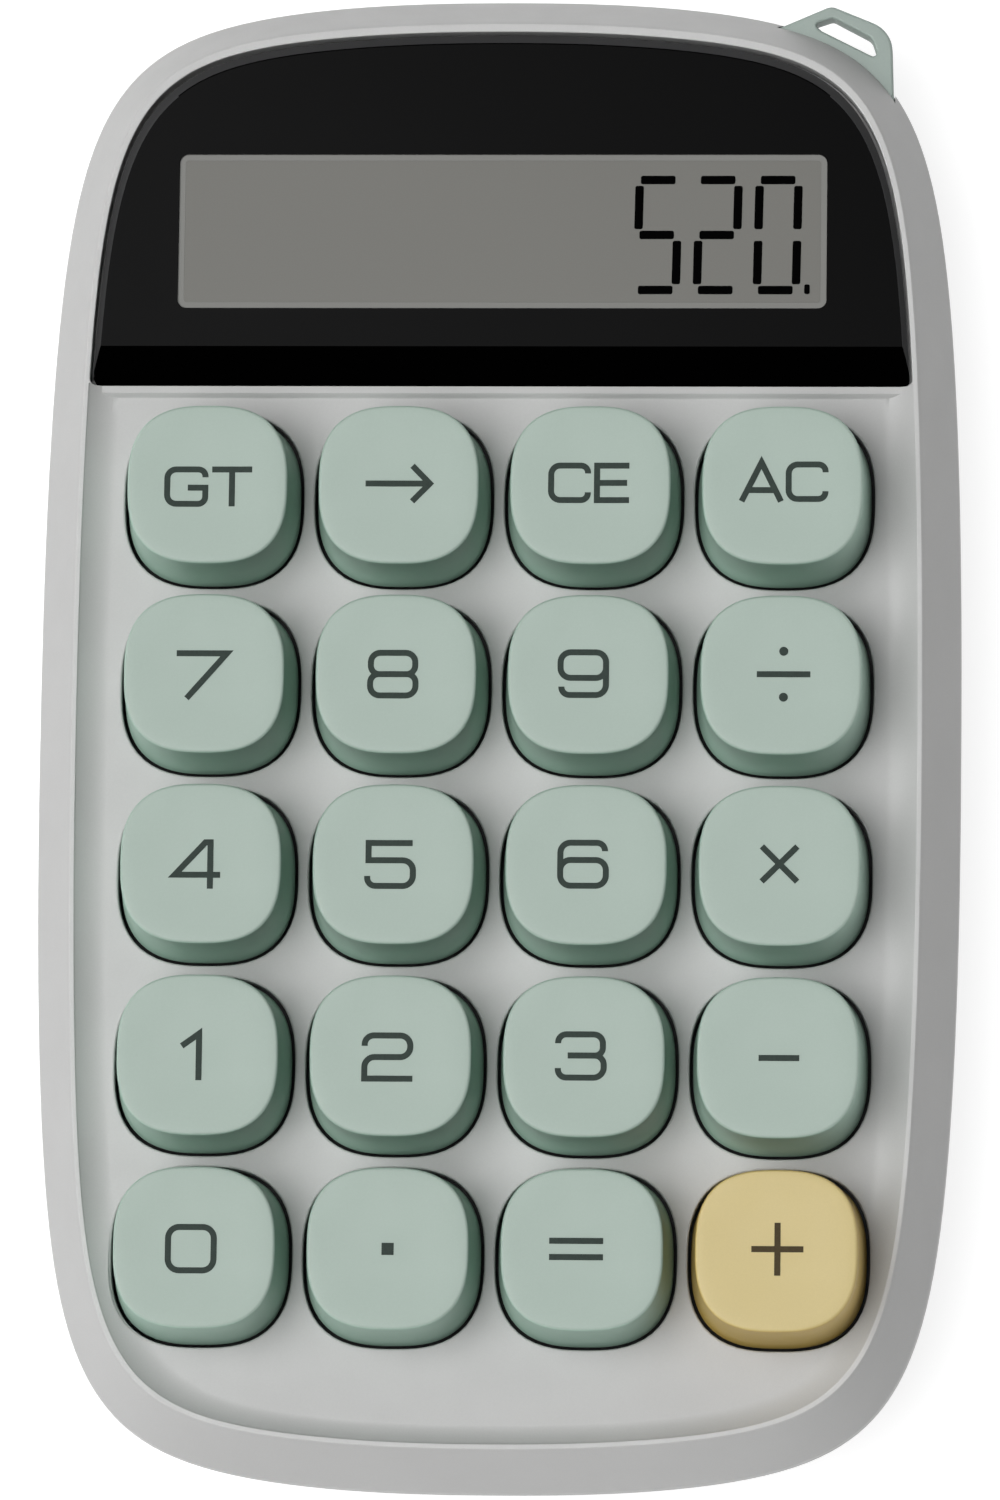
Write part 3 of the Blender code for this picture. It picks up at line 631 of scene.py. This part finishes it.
SAGE = (0.380, 0.470, 0.416)
# painted shade for the steep walls of the sage caps, greener than their tops
SAGE_PAINTED_SHADE = (0.330, 0.485, 0.400)
# the shell's rim top gets a painted highlight, up to 0.13 lighter
SHELL = moulded("shell_plastic_look", (0.472, 0.472, 0.468), 0.46, 0.16, 0.0035, edge=0.13,
                rim_z=RIM_Z)
# base, loop and dark plastic keep moulded's painted highlight on sharp edges; the caps have none
BASE = moulded("base_plastic_look", (0.465, 0.465, 0.460), 0.52, 0.22, 0.006)
SAGE_CAP = moulded("sage_cap_look", SAGE, 0.50, 0.18, 0.0035, 0.012, 0.0, SAGE_PAINTED_SHADE)
SAGE_LOOP = moulded("sage_loop_look", (0.305, 0.365, 0.335), 0.48, 0.18, 0.004)
# the yellow cap's second colour is painted shade for its steep walls, darker than its top
YELLOW_CAP = moulded("yellow_cap_look", (0.615, 0.500, 0.225), 0.48, 0.18, 0.0035, 0.012, 0.0,
                     (0.500, 0.350, 0.085))
DARK = moulded("dark_plastic_look", (0.028, 0.028, 0.030), 0.5, 0.2, 0.006)
BLACK = acrylic("black_acrylic_look", (0.0007, 0.0007, 0.0008), 0.16, 0.04)
BLACK_FRONT = acrylic("black_front_look", (0.0003, 0.0003, 0.0003), 0.35, 0.0)
# the bevel's grey is a painted highlight on the black lens, far paler than its face
BEVEL_PAINTED_HIGHLIGHT = acrylic("bevel_painted_highlight_look", (0.044, 0.044, 0.045), 0.4, 0.2)
SCREEN = liquid_crystal("lcd_face_look", (0.158, 0.156, 0.142))
SCREEN_EDGE = liquid_crystal("lcd_edge_look", (0.195, 0.195, 0.183))
SEGMENT = ink("lcd_segment_look", (0.0015, 0.0015, 0.0015), 0.6, 0.0)
INK = ink("legend_ink_look", (0.030, 0.045, 0.038))
INK_BROWN = ink("legend_brown_look", (0.060, 0.042, 0.017))
STEEL = plated("steel_look")
RUBBER = rubber("foot_rubber_look")
BOARD = circuit_board("board_look")
RIBBON = striped("ribbon_look", (0.55, 0.28, 0.07), (0.34, 0.15, 0.03), 0.8, 0.35)
SLEEVE = striped("sleeve_look", (0.02, 0.07, 0.16), (0.55, 0.55, 0.52), 30.0, 0.3)


# -------- housings

def ledge_front(z):
    """Where the soft step from the deck up to the display's ledge reaches this height."""
    height = min((z - DECK_Z) / (LEDGE_Z - DECK_Z), 1.0)
    climb = 2 / math.pi * math.asin(math.sqrt(height))
    return DECK_TOP_Y + LEDGE_STEP * (climb - 0.5)


def coved(ring, floor_z):
    """Solid that cuts a floor at this height and the part of the cove that lies above it."""
    inner = RIM_INSET + RIM_HALF_THICKNESS
    height = RIM_Z - RIM_EDGE - DECK_Z
    start = math.sqrt((floor_z - DECK_Z) / height)
    levels = []
    for step in range(COVE_STEPS):
        share = start + (1 - start) * step / COVE_STEPS
        levels.append(ring(inner + COVE_WIDTH * (1 - share), DECK_Z + height * share * share))
    return loft(levels + flared(ring, inner, RIM_Z, RIM_EDGE))


def flared(ring, inset, z, reach):
    """Cutter levels that leave a rounded inner edge where the rim's top is at z."""
    levels = [ring(inset - reach * out, z - reach * drop) for out, drop in quarter(4)]
    return levels + [ring(inset - reach, z + CUT_ABOVE)]


def loop_notch():
    """Room for the strap loop, cut from both housings."""
    return polygon_loft([(grown(LOOP_OUTLINE, NARROW_GAP), z)
                         for z in (LOOP_LOW[2] - NARROW_GAP, LOOP_HIGH[2] + NARROW_GAP)])


def key_hole():
    """Solid that cuts a key's hole with a rounded upper edge."""
    levels = [(0.0, CEILING_Z - CUT_ABOVE)]
    levels += [(KEY_HOLE_EDGE * out, DECK_Z - KEY_HOLE_EDGE * drop) for out, drop in quarter(4)]
    levels += [(KEY_HOLE_EDGE, RIM_Z + CUT_ABOVE)]
    return loft([squircle(KEY_HOLE_HALF + out, z, KEY_HOLE_SIDES) for out, z in levels])


def case_top():
    """Upper housing: sloping sides, thin rim, sunk deck with its key holes, display pocket."""
    inner = RIM_INSET + RIM_HALF_THICKNESS
    outer = RIM_INSET - RIM_HALF_THICKNESS
    profile = rounded([
        (RIM_INSET + 0.7, CEILING_Z, 0), (WALL, PARTING_Z + 1.2, 0.5), (WALL, PARTING_Z, 0),
        (0.0, PARTING_Z, 0.25), (0.05, PARTING_Z + 1.1, 0.9), (outer - 0.3, RIM_Z - 0.45, 0.5),
        (outer, RIM_Z, RIM_EDGE), (outer + 0.2, RIM_Z, 0),
    ])
    shell = build("case_top", loft([case_ring(inset, z) for inset, z in profile]), SHELL)
    deck = coved(lambda inset, z: lower_ring(inset, ledge_front(z), z,
                                             COVE_FORWARD * max(inset - inner, 0.0)), DECK_Z)
    ledge_range = (ledge_front(RIM_Z) - 0.05, LENS_FRONT_Y)
    ledge = coved(lambda inset, z: strip_ring(inset, ledge_range, z), LEDGE_Z)

    def hollow(inset, z):
        return rear_ring(inset, REAR_EXTRA, z, LENS_FRONT_Y - NARROW_GAP)

    pocket = loft([hollow(inner, LENS_BOTTOM_Z - GAP)] + flared(hollow, inner, RIM_Z, RIM_EDGE))
    opening = box((LCD_LOW[0] - GAP, LCD_HIGH[0] + GAP), (LCD_LOW[1] - GAP, LCD_HIGH[1] + GAP),
                  (CEILING_Z - CUT_ABOVE, LENS_BOTTOM_Z))
    holes = merged([shifted(key_hole(), (*centre("keycap_" + name), 0)) for name in KEY_NAMES])
    combine(shell, (("DIFFERENCE", deck), ("DIFFERENCE", ledge), ("DIFFERENCE", pocket),
                    ("DIFFERENCE", opening), ("DIFFERENCE", holes), ("DIFFERENCE", loop_notch())))
    dress(shell, "case", "shell_plastic", "upper_housing")


def recess(radius, chamfer, top):
    """Solid that cuts a round recess with a chamfered edge in the underside."""
    return loft([circle(radius + chamfer, BASE_Z - 1), circle(radius + chamfer, BASE_Z),
                 circle(radius, BASE_Z + chamfer), circle(radius, top)])


def bay_walls():
    """Walls round the battery cell, rooted in the base: its ends, and its lower sides."""
    (left, right), (front, rear) = BAY_X, BAY_Y
    root = FLOOR_Z - 0.3
    ends = [box(x_range, (front - BAY_WALL, rear + BAY_WALL), (root, BAY_TOP_Z))
            for x_range in ((left - BAY_WALL, left), (right, right + BAY_WALL))]
    thickness = BAY_WALL - 0.1
    sides = [box((left - 0.5, right + 0.5), y_range, (root, BAY_TOP_Z - 0.5))
             for y_range in ((front - thickness, front), (rear, rear + thickness))]
    return merged(ends), merged(sides)


def case_bottom():
    """Lower housing: rounded underside with door opening, screw and foot recesses."""
    outside = smooth_line([(5.9, BASE_Z), (4.4, BASE_Z + 0.4), (2.6, BASE_Z + 1.9),
                           (1.0, BASE_Z + 4.6), (0.1, LOWER_TOP_Z - 1.0)])
    inside = [(WALL, LOWER_TOP_Z), (WALL + 0.9, BASE_Z + 4.8), (WALL + 2.8, FLOOR_Z + 0.2),
              (WALL + 3.6, FLOOR_Z)]
    lip = [(0.0, LOWER_TOP_Z - 0.3), (0.07, LOWER_TOP_Z - 0.08), (0.3, LOWER_TOP_Z)]
    profile = [(FLAT_INSET, BASE_Z)] + outside + lip + inside
    shell = build("case_bottom", loft([case_ring(inset, z) for inset, z in profile]), BASE)
    opening = loft([rectangle((DOOR_LOW[0] - DOOR_GAP, DOOR_HIGH[0] + DOOR_GAP),
                              (DOOR_FRONT_Y - DOOR_GAP, DOOR_HIGH[1] + DOOR_GAP), z, 0.9)
                    for z in (BASE_Z - 1, FLOOR_Z + 1)])
    cuts = [shifted(recess(SCREW_RECESS, 0.2, FLOOR_Z + 0.4), (*centre("screw_" + corner), 0))
            for corner in CORNERS]
    cuts += [shifted(recess(FOOT_RECESS, 0.1, BASE_Z + 0.5), (*centre("foot_" + corner), 0))
             for corner in CORNERS]
    ends, sides = bay_walls()
    combine(shell, (("UNION", ends), ("UNION", sides), ("DIFFERENCE", merged(cuts)),
                    ("DIFFERENCE", opening), ("DIFFERENCE", loop_notch())))
    dress(shell, "case", "base_plastic", "lower_housing")


def edge_levels(low, high, radius, steps=4):
    """Pairs (inset, z) that round both edges of a plate between two heights."""
    arc = quarter(steps)
    return ([(radius * b, low + radius * a) for a, b in arc]
            + [(radius * a, high - radius * b) for a, b in arc])


def strap_eye():
    """Strap loop with rounded edges inside and out."""
    low, high, edge = LOOP_LOW[2], LOOP_HIGH[2], 0.28
    levels = edge_levels(low, high, edge)
    plate = polygon_loft([(grown(LOOP_OUTLINE, -inset), z) for inset, z in levels])
    slot = [(grown(LOOP_SLOT, inset), z)
            for inset, z in [(edge, low - 1)] + levels + [(edge, high + 1)]]
    piece = build("strap_eye", plate, SAGE_LOOP)
    combine(piece, (("DIFFERENCE", polygon_loft(slot)),))
    dress(piece, "case", "sage_plastic", "strap_loop")


# -------- display

def window_block(inset, corner, z_range):
    """Block that fills the lens's window up to this inset from its edge."""
    (left, right), (front, rear) = WINDOW_X, WINDOW_Y
    return loft([rectangle((left + inset, right - inset), (front + inset, rear - inset), z, corner, 8)
                 for z in z_range])


def lens():
    """Black lens with a narrow bevel, a sloping front and a window for the screen."""
    bevel_width, bevel_depth = LENS_BEVEL
    rear, edge = REAR_EXTRA, 0.06
    rings = [rear_ring(LENS_INSET, rear, LENS_BOTTOM_Z),
             rear_ring(LENS_INSET, rear, LENS_TOP_Z - bevel_depth - edge),
             rear_ring(LENS_INSET + edge, rear + edge, LENS_TOP_Z - bevel_depth),
             rear_ring(LENS_INSET + bevel_width - edge, rear + BEVEL_EXTRA - edge,
                       LENS_TOP_Z - edge / 2),
             rear_ring(LENS_INSET + bevel_width, rear + BEVEL_EXTRA, LENS_TOP_Z)]
    piece = build("lens_panel", loft(rings), BLACK)
    front, crease = LENS_FRONT_Y - 1.0, LENS_FRONT_Y + LENS_SLOPE
    drop = LENS_DROP / LENS_SLOPE * (crease - front)
    side = CASE_HALF_WIDTH
    above = LENS_TOP_Z + CUT_ABOVE
    wedge = loft([[(-side, front, low), (side, front, low), (side, crease, high),
                   (-side, crease, high)]
                  for low, high in ((LENS_TOP_Z - drop, LENS_TOP_Z), (above, above))])
    window = window_block(0.0, WINDOW_CORNER, (LENS_BOTTOM_Z - 1, above))
    combine(piece, (("DIFFERENCE", wedge), ("DIFFERENCE", window)))
    piece.data.materials.append(BLACK_FRONT)
    piece.data.materials.append(BEVEL_PAINTED_HIGHLIGHT)
    # the bevel's faces take the grey of the painted highlight
    for face in piece.data.polygons:
        if BEVEL_TILT[0] < face.normal.z < BEVEL_TILT[1]:
            face.material_index = 2
        elif face.center.y < crease * MM:
            face.material_index = 1
    dress(piece, "case", "black_acrylic", "display_lens", angle=8)


def screen():
    """Screen in the lens's window, its face inside a slightly paler border."""
    inner, corner = SCREEN_PLAY + SCREEN_BORDER, WINDOW_CORNER - SCREEN_BORDER
    ring = window_block(SCREEN_PLAY, WINDOW_CORNER, (LENS_BOTTOM_Z, SCREEN_Z))
    border = build("screen_border", ring, SCREEN_EDGE)
    hollow = window_block(inner, corner, (LENS_BOTTOM_Z - 1, SCREEN_Z + 1))
    combine(border, (("DIFFERENCE", hollow),))
    dress(border, "case", "lcd_grey")

    panel = build("screen", box(*zip(LCD_LOW, LCD_HIGH)), SCREEN)
    face = window_block(inner + 0.01, corner, (LCD_LOW[2] + 1, SCREEN_Z))
    combine(panel, (("UNION", face),))
    dress(panel, "case", "lcd_grey", "lcd_panel")


def segment(x, name):
    """One lit bar of a digit, with rounded corners."""
    w, h, half = DIGIT_HALF_WIDTH, DIGIT_HALF_HEIGHT, SEGMENT_WIDTH / 2
    left, right, short = SEGMENT_SHORT
    level = {"a": h, "g": 0.0, "d": -h}
    if name in level:
        x_range, y_range = (left - w, w - right), (level[name] - half, level[name] + half)
    else:
        side = w if name in "bc" else -w
        x_range = (side - half, side + half)
        y_range = (short, h - short) if name in "bf" else (short - h, -short)
    ring = rectangle(x_range, y_range, 0, 0.2, 3)
    return loft([[(x + px + py * DIGIT_SLANT, DIGIT_MIDDLE_Y + py, z) for px, py, _ in ring]
                 for z in SEGMENT_Z])


def digits():
    """The screen's lit bars and its point."""
    shapes = [segment(x, name) for x, lit in DIGITS for name in lit]
    shapes.append(loft([rectangle(*POINT_BOX, z, 0.2, 4) for z in SEGMENT_Z]))
    dress(build("screen_digits", merged(shapes), SEGMENT), "case", "lcd_segment")


# -------- keys

def cap_top(x, y):
    """Height of the dished top over a key's middle."""
    share = min(math.hypot(x, y) / (KEY_TOP_HALF - KEY_EDGE), 1.0)
    return KEY_TOP_Z - KEY_DISH * (1 - share * share) ** 2


def keycap_shape():
    """Hollow cap with a dished top, standing over the origin."""
    low, flat = KEY_LOW[2], KEY_TOP_HALF - KEY_EDGE
    side_low, side_high = low + KEY_FOOT_EDGE, KEY_TOP_Z - KEY_EDGE
    rings = [squircle(KEY_TOP_HALF - KEY_WALL, KEY_TOP_Z - KEY_ROOF),
             squircle(KEY_BASE_HALF - KEY_WALL, low), squircle(KEY_BASE_HALF - KEY_FOOT_EDGE, low),
             squircle(KEY_BASE_HALF, side_low)]
    for step in range(1, 8):
        share = step / 8
        half = KEY_BASE_HALF + (KEY_TOP_HALF - KEY_BASE_HALF) * share
        rings.append(squircle(half - KEY_WAIST * math.sin(math.pi * share),
                              side_low + (side_high - side_low) * share))
    rings += [squircle(KEY_TOP_HALF - KEY_EDGE * out, KEY_TOP_Z - KEY_EDGE * drop)
              for out, drop in quarter(6)]
    for step in range(1, 12):
        ring = squircle(flat * (1 - step / 12), 0)
        rings.append([(x, y, cap_top(x, y)) for x, y, _ in ring])
    return loft(rings)


def stroke(points, closed, lift):
    """Thin closed solid along a pen stroke, lying on the dished top of a key."""
    count, half = len(points), INK_WIDTH / 2
    vertices, faces = [], []
    for i, (x, y) in enumerate(points):
        before = points[i - 1] if closed or i else points[i]
        after = points[(i + 1) % count] if closed or i < count - 1 else points[i]
        first = math.atan2(y - before[1], x - before[0]) if before != (x, y) else None
        second = math.atan2(after[1] - y, after[0] - x) if after != (x, y) else None
        first = second if first is None else first
        second = first if second is None else second
        turn = (second - first + math.pi) % (2 * math.pi) - math.pi
        normal = first + turn / 2 + math.pi / 2
        reach = half / max(math.cos(turn / 2), 0.35)
        dx, dy = reach * math.cos(normal), reach * math.sin(normal)
        for px, py in ((x + dx, y + dy), (x - dx, y - dy)):
            height = cap_top(px, py)
            vertices += [(px, py, height - INK_HEIGHT), (px, py, height + INK_HEIGHT - lift)]
    for i in range(count if closed else count - 1):
        a, b = 4 * i, 4 * ((i + 1) % count)
        faces += [(a + 1, a + 3, b + 3, b + 1), (a, b, b + 2, a + 2),
                  (a, a + 1, b + 1, b), (a + 2, b + 2, b + 3, a + 3)]
    if not closed:
        end = 4 * (count - 1)
        faces += [(0, 2, 3, 1), (end, end + 1, end + 3, end + 2)]
    return vertices, faces


def dot(y, half, radius):
    """Small printed dot on the middle line of a key's top."""
    ring = rectangle((-half, half), (y - half, y + half), 0, radius, 5)
    return loft([[(px, py, cap_top(px, py) + rise) for px, py, _ in ring]
                 for rise in (-INK_HEIGHT, INK_HEIGHT)])


def line(*corners, closed=False):
    """Pen stroke through corners (x, y) or (x, y, radius), and whether it closes."""
    return [corner if len(corner) == 3 else (*corner, 0) for corner in corners], closed


def legend_lines():
    """Pen strokes of every key's legend."""
    w, h, r = 2.25, 2.14, 1.0    # half width, half height and corner radius of the figures
    v = 1.74                     # half height of the letters

    def letter_c(left, right):
        return line((right, 0.95), (right, v, 0.7), (left, v, 0.9), (left, -v, 0.9),
                    (right, -v, 0.7), (right, -0.95))

    six_loop = line((-w, 0.42, r), (w, 0.42, r), (w, -h, r), (-w, -h, r), closed=True)
    six_tail = line((w - 0.1, 1.3), (w - 0.1, h, 0.8), (-w, h, r), (-w, -0.9))
    return {
        "0": [line((-w, -h, 1.1), (w, -h, 1.1), (w, h, 1.1), (-w, h, 1.1), closed=True)],
        "1": [line((-1.25, 1.0), (0.45, h + 0.1), (0.45, -h - 0.25))],
        "2": [line((-w, 1.1), (-w, h, 0.9), (w, h, r), (w, 0.0, r), (-w, 0.0, r), (-w, -h),
                   (w + 0.25, -h))],
        "3": [line((-w, 1.25), (-w, h, 0.8), (w - 0.1, h, 0.9), (w - 0.1, 0.05, 0.75), (-1.3, 0.05)),
              line((0.9, 0.05), (w, 0.05, 0.9), (w, -h, r), (-w, -h, 0.8), (-w, -1.2))],
        "4": [line((1.25, -h - 0.25), (1.25, h + 0.1), (0.75, h + 0.1), (-w, -1.0), (w, -1.0))],
        "5": [line((w - 0.05, h), (-w + 0.1, h), (-w + 0.1, 0.42), (w, 0.42, r), (w, -h, r),
                   (-w, -h, 0.8), (-w, -1.15))],
        "6": [six_loop, six_tail],
        "7": [line((-w - 0.2, h), (w + 0.3, h), (-1.4, -h - 0.25))],
        "8": [line((-x, 0.0, 0.85), (x, 0.0, 0.85), (x, y, 0.95), (-x, y, 0.95), closed=True)
              for x, y in ((w - 0.05, h), (w, -h))],
        "9": [([(-x, -y, radius) for x, y, radius in corners], closed)
              for corners, closed in (six_loop, six_tail)],
        "gt": [line((-0.35, 0.95), (-0.35, v, 0.7), (-4.15, v, 0.9), (-4.15, -v, 0.9),
                    (-0.35, -v, 0.7), (-0.35, -0.1), (-2.1, -0.1)),
               line((0.3, v), (4.3, v)), line((2.3, v), (2.3, -v - 0.25))],
        "ce": [letter_c(-3.8, -0.15), line((3.95, v), (0.75, v), (0.75, -v), (3.95, -v)),
               line((0.75, 0.0), (3.75, 0.0))],
        "ac": [line((-4.25, -v - 0.25), (-2.3, v + 0.2), (-0.35, -v - 0.25)),
               line((-3.5, -0.85), (-1.1, -0.85)), letter_c(0.4, 4.05)],
        "arrow": [line((-3.3, 0), (3.05, 0)), line((1.35, 1.8), (3.1, 0), (1.35, -1.8))],
        "divide": [line((-2.65, 0), (2.65, 0))],
        "multiply": [line((-1.75, -1.75), (1.75, 1.75)), line((-1.75, 1.75), (1.75, -1.75))],
        "minus": [line((-2.0, 0), (2.0, 0))],
        "plus": [line((-2.55, 0), (2.55, 0)), line((0, -2.6), (0, 2.6))],
        "equals": [line((-2.65, y), (2.65, y)) for y in (0.8, -0.8)],
        "point": [],
    }


def legend_shape(name, lines):
    """A legend's strokes, each a hair lower than the one before, and its dots."""
    shapes = [stroke(rounded(corners, closed, 8), closed, 0.001 * order)
              for order, (corners, closed) in enumerate(lines)]
    if name == "point":
        shapes.append(dot(0, 0.6, 0.05))
    if name == "divide":
        shapes += [dot(y, 0.45, 0.449) for y in (-2.3, 2.3)]
    return merged(shapes)


def keys():
    """Twenty keycaps with their legends; the caps of one colour share one mesh."""
    shape = keycap_shape()
    cap_meshes = {finish: make_mesh("keycap", shape, finish) for finish in (SAGE_CAP, YELLOW_CAP)}
    lines = legend_lines()
    for name in KEY_NAMES:
        x, y = centre("keycap_" + name)
        accent = name == "plus"
        cap = place("cap_" + name, cap_meshes[YELLOW_CAP if accent else SAGE_CAP], (x, y, 0))
        dress(cap, "key_" + name, "yellow_plastic" if accent else "sage_plastic",
              "keycap_" + name, angle=50)
        right, up = LEGEND_NUDGES.get(name, (0.0, 0.0))
        right -= DIGIT_LEFT if name.isdigit() else 0.0
        legend = build("legend_" + name, legend_shape(name, lines[name]),
                       INK_BROWN if accent else INK, (x + right, y + LEGEND_SKEW * x + up, 0))
        dress(legend, "key_" + name, "legend_ink")


# -------- underside

def door_panel():
    """Battery door with softened edges, grip ribs and its tabs and latch."""
    left, right, rear = DOOR_LOW[0], DOOR_HIGH[0], DOOR_HIGH[1]
    slab = loft([rectangle((left + inset, right - inset), (DOOR_FRONT_Y + inset, rear - inset), z, 0.6)
                 for inset, z in edge_levels(BASE_Z, FLOOR_Z, 0.15, 3)])
    piece = build("door_panel", slab, BASE)
    tabs = [box((x, x + TAB_WIDTH), (DOOR_FRONT_Y + 0.15, DOOR_FRONT_Y + 1.65),
                (FLOOR_Z - 0.5, FLOOR_Z + 0.6)) for x in TAB_X]
    tongues = [box((x + 0.05, x + TAB_WIDTH - 0.05), (DOOR_FRONT_Y - 2.15, DOOR_FRONT_Y + 1.6),
                   (FLOOR_Z + 0.3, FLOOR_Z + 1.1)) for x in TAB_X]
    thickness = FLOOR_Z - BASE_Z
    latch = box((-4, 4), (rear - 0.95, rear - 0.35), (FLOOR_Z - 0.5, FLOOR_Z + thickness))
    grooves = []
    for step in range(4):
        y = rear - 2.2 - 1.1 * step
        grooves.append(loft([rectangle((-5.0, 5.0), (y - reach, y + reach), z, reach * 0.9, 4)
                             for reach, z in ((0.40, BASE_Z - 0.5), (0.40, BASE_Z - 0.02),
                                              (0.22, BASE_Z + 0.3))]))
    combine(piece, (("UNION", merged(tabs)), ("UNION", merged(tongues)), ("UNION", latch),
                    ("DIFFERENCE", merged(grooves))))
    dress(piece, "door", "base_plastic", "battery_door")


def feet():
    """Rubber feet with a rounded edge."""
    for corner in CORNERS:
        low, high = span("foot_" + corner)
        radius = (high[0] - low[0]) / 2
        rings = [circle(radius - inset, z) for inset, z in edge_levels(low[2], high[2], 0.35)]
        pad = build("pad_" + corner, loft(rings), RUBBER, (*centre("foot_" + corner), 0))
        dress(pad, "case", "foot_rubber", "foot_" + corner)


def screws():
    """Pan-head screws with a cross recess."""
    head, shank = 2.4, 1.0
    arm, slot = 1.35, 0.32
    bottom, top = SCREW_BOTTOM_Z, SCREW_TOP_Z
    shoulder = bottom + 1.7
    rings = [circle(radius, z) for radius, z in (
        (head - 0.6, bottom), (head - 0.22, bottom + 0.12), (head - 0.05, bottom + 0.4),
        (head, bottom + 0.8), (head, shoulder), (shank, shoulder), (shank, top - 0.5), (0.4, top))]
    for corner in CORNERS:
        x, y = centre("screw_" + corner)
        piece = build("bolt_" + corner, loft(rings), STEEL, (x, y, 0))
        for half_x, half_y in ((arm, slot), (slot, arm)):
            recess_cut = loft([rectangle((x - half_x * scale, x + half_x * scale),
                                         (y - half_y * scale, y + half_y * scale), z)
                               for scale, z in ((1.0, bottom - 1), (1.0, bottom), (0.6, bottom + 1.0))])
            combine(piece, (("DIFFERENCE", recess_cut),))
        dress(piece, "case", "steel", "screw_" + corner)


def inner_nodes():
    """Materials of the solids that keep their own shape."""
    looks = {"switch_block": DARK, "main_board": BOARD, "lcd_ribbon": RIBBON,
             "battery_cell": SLEEVE, "battery_contact": STEEL, "battery_spring": STEEL}
    for name in KEY_NAMES:
        looks["stem_" + name] = DARK
    for node, finish in looks.items():
        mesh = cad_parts[node].data
        mesh.materials.clear()
        mesh.materials.append(finish)


# -------- stage, light, camera

KEY_LIGHT_AXIS = (-0.385, -0.08, 1.0)
KEY_LIGHT_ANGLES = (13.0, 31.0)   # degrees from the axis: full light, no light
KEY_LIGHT_STRENGTH = 5.9
HORIZON_TOP = 0.34                # sine of the height at which the pale horizon ends
HORIZON_STRENGTH = 0.17
SKYLINE = (0.06, 0.03, 0.75)      # a white backdrop behind the floor: none above, full below, strength
AMBIENT_STRENGTH = 0.06
FLOOR_SHADE = 0.35                # share of the light that falls on the floor and comes back
FLOOR_GLOW = 0.8                  # the floor is lit from below, as on a light table
FLOOR_REACH = 3000
CAMERA_PLACE = (55.95, -160.97, 982.97)
CAMERA_ANGLES = (9.35, 3.25, 0.20)  # degrees of pitch, roll and turn
FOCAL_LENGTH = 236.06
SENSOR_WIDTH = 36.0


def floor():
    """Pale matt floor that the feet stand on."""
    surface = Surface("floor_look", (FLOOR_SHADE, FLOOR_SHADE, FLOOR_SHADE), 0.7, specular=0.2)
    tone = surface.ranged(surface.noise(60.0, 2.0), 0.995, 1.005)
    surface.link(surface.shaded(tone), surface.shader.inputs["Base Color"])
    surface.set("Emission Color", (1.0, 1.0, 1.0, 1.0))
    surface.set("Emission Strength", FLOOR_GLOW)
    sides = (-FLOOR_REACH, FLOOR_REACH)
    build("floor", (rectangle(sides, sides, 0), [(0, 1, 2, 3)]), surface.material)


def ramped(nodes, links, value, start, end, strength):
    """Value that climbs smoothly from nothing at start to strength at end."""
    ramp = nodes.new("ShaderNodeMapRange")
    ramp.interpolation_type = "SMOOTHSTEP"
    for socket, number in (("From Min", start), ("From Max", end), ("To Max", strength)):
        ramp.inputs[socket].default_value = number
    links.new(value, ramp.inputs["Value"])
    return ramp.outputs["Result"]


def sky():
    """Broad soft light high on the left, a pale horizon, and a little light from all sides."""
    world = bpy.data.worlds.new("studio")
    bpy.context.scene.world = world
    world.use_nodes = True
    nodes, links = world.node_tree.nodes, world.node_tree.links
    direction = nodes.new("ShaderNodeTexCoord").outputs["Generated"]
    toward = nodes.new("ShaderNodeVectorMath")
    toward.operation = "DOT_PRODUCT"
    toward.inputs[1].default_value = Vector(KEY_LIGHT_AXIS).normalized()
    links.new(direction, toward.inputs[0])
    inner, outer = (math.cos(math.radians(angle)) for angle in KEY_LIGHT_ANGLES)
    overhead = ramped(nodes, links, toward.outputs["Value"], outer, inner, KEY_LIGHT_STRENGTH)
    height = nodes.new("ShaderNodeSeparateXYZ")
    links.new(direction, height.inputs[0])
    horizon = ramped(nodes, links, height.outputs["Z"], HORIZON_TOP, 0.0, HORIZON_STRENGTH)
    skyline = ramped(nodes, links, height.outputs["Z"], *SKYLINE)
    ambient = nodes.new("ShaderNodeValue")
    ambient.outputs[0].default_value = AMBIENT_STRENGTH
    total = ambient.outputs[0]
    for part in (overhead, horizon, skyline):
        added = nodes.new("ShaderNodeMath")
        added.operation = "ADD"
        links.new(part, added.inputs[0])
        links.new(total, added.inputs[1])
        total = added.outputs[0]
    links.new(total, nodes["Background"].inputs["Color"])


def camera():
    """View from above, a little from the front and the right."""
    pitch, roll, turn = (math.radians(angle) for angle in CAMERA_ANGLES)
    data = bpy.data.cameras.new("camera")
    data.lens = FOCAL_LENGTH
    data.sensor_width = SENSOR_WIDTH
    result = bpy.data.objects.new("camera", data)
    result.location = [value * MM for value in CAMERA_PLACE]
    turned = Matrix.Rotation(pitch, 3, "X") @ Matrix.Rotation(roll, 3, "Y")
    result.rotation_euler = (turned @ Matrix.Rotation(turn, 3, "Z")).to_euler()
    bpy.context.scene.collection.objects.link(result)
    bpy.context.scene.camera = result
    bpy.context.scene.view_settings.view_transform = "Standard"


camera()
sky()
floor()
case_top()
case_bottom()
strap_eye()
lens()
screen()
digits()
keys()
door_panel()
feet()
screws()
inner_nodes()
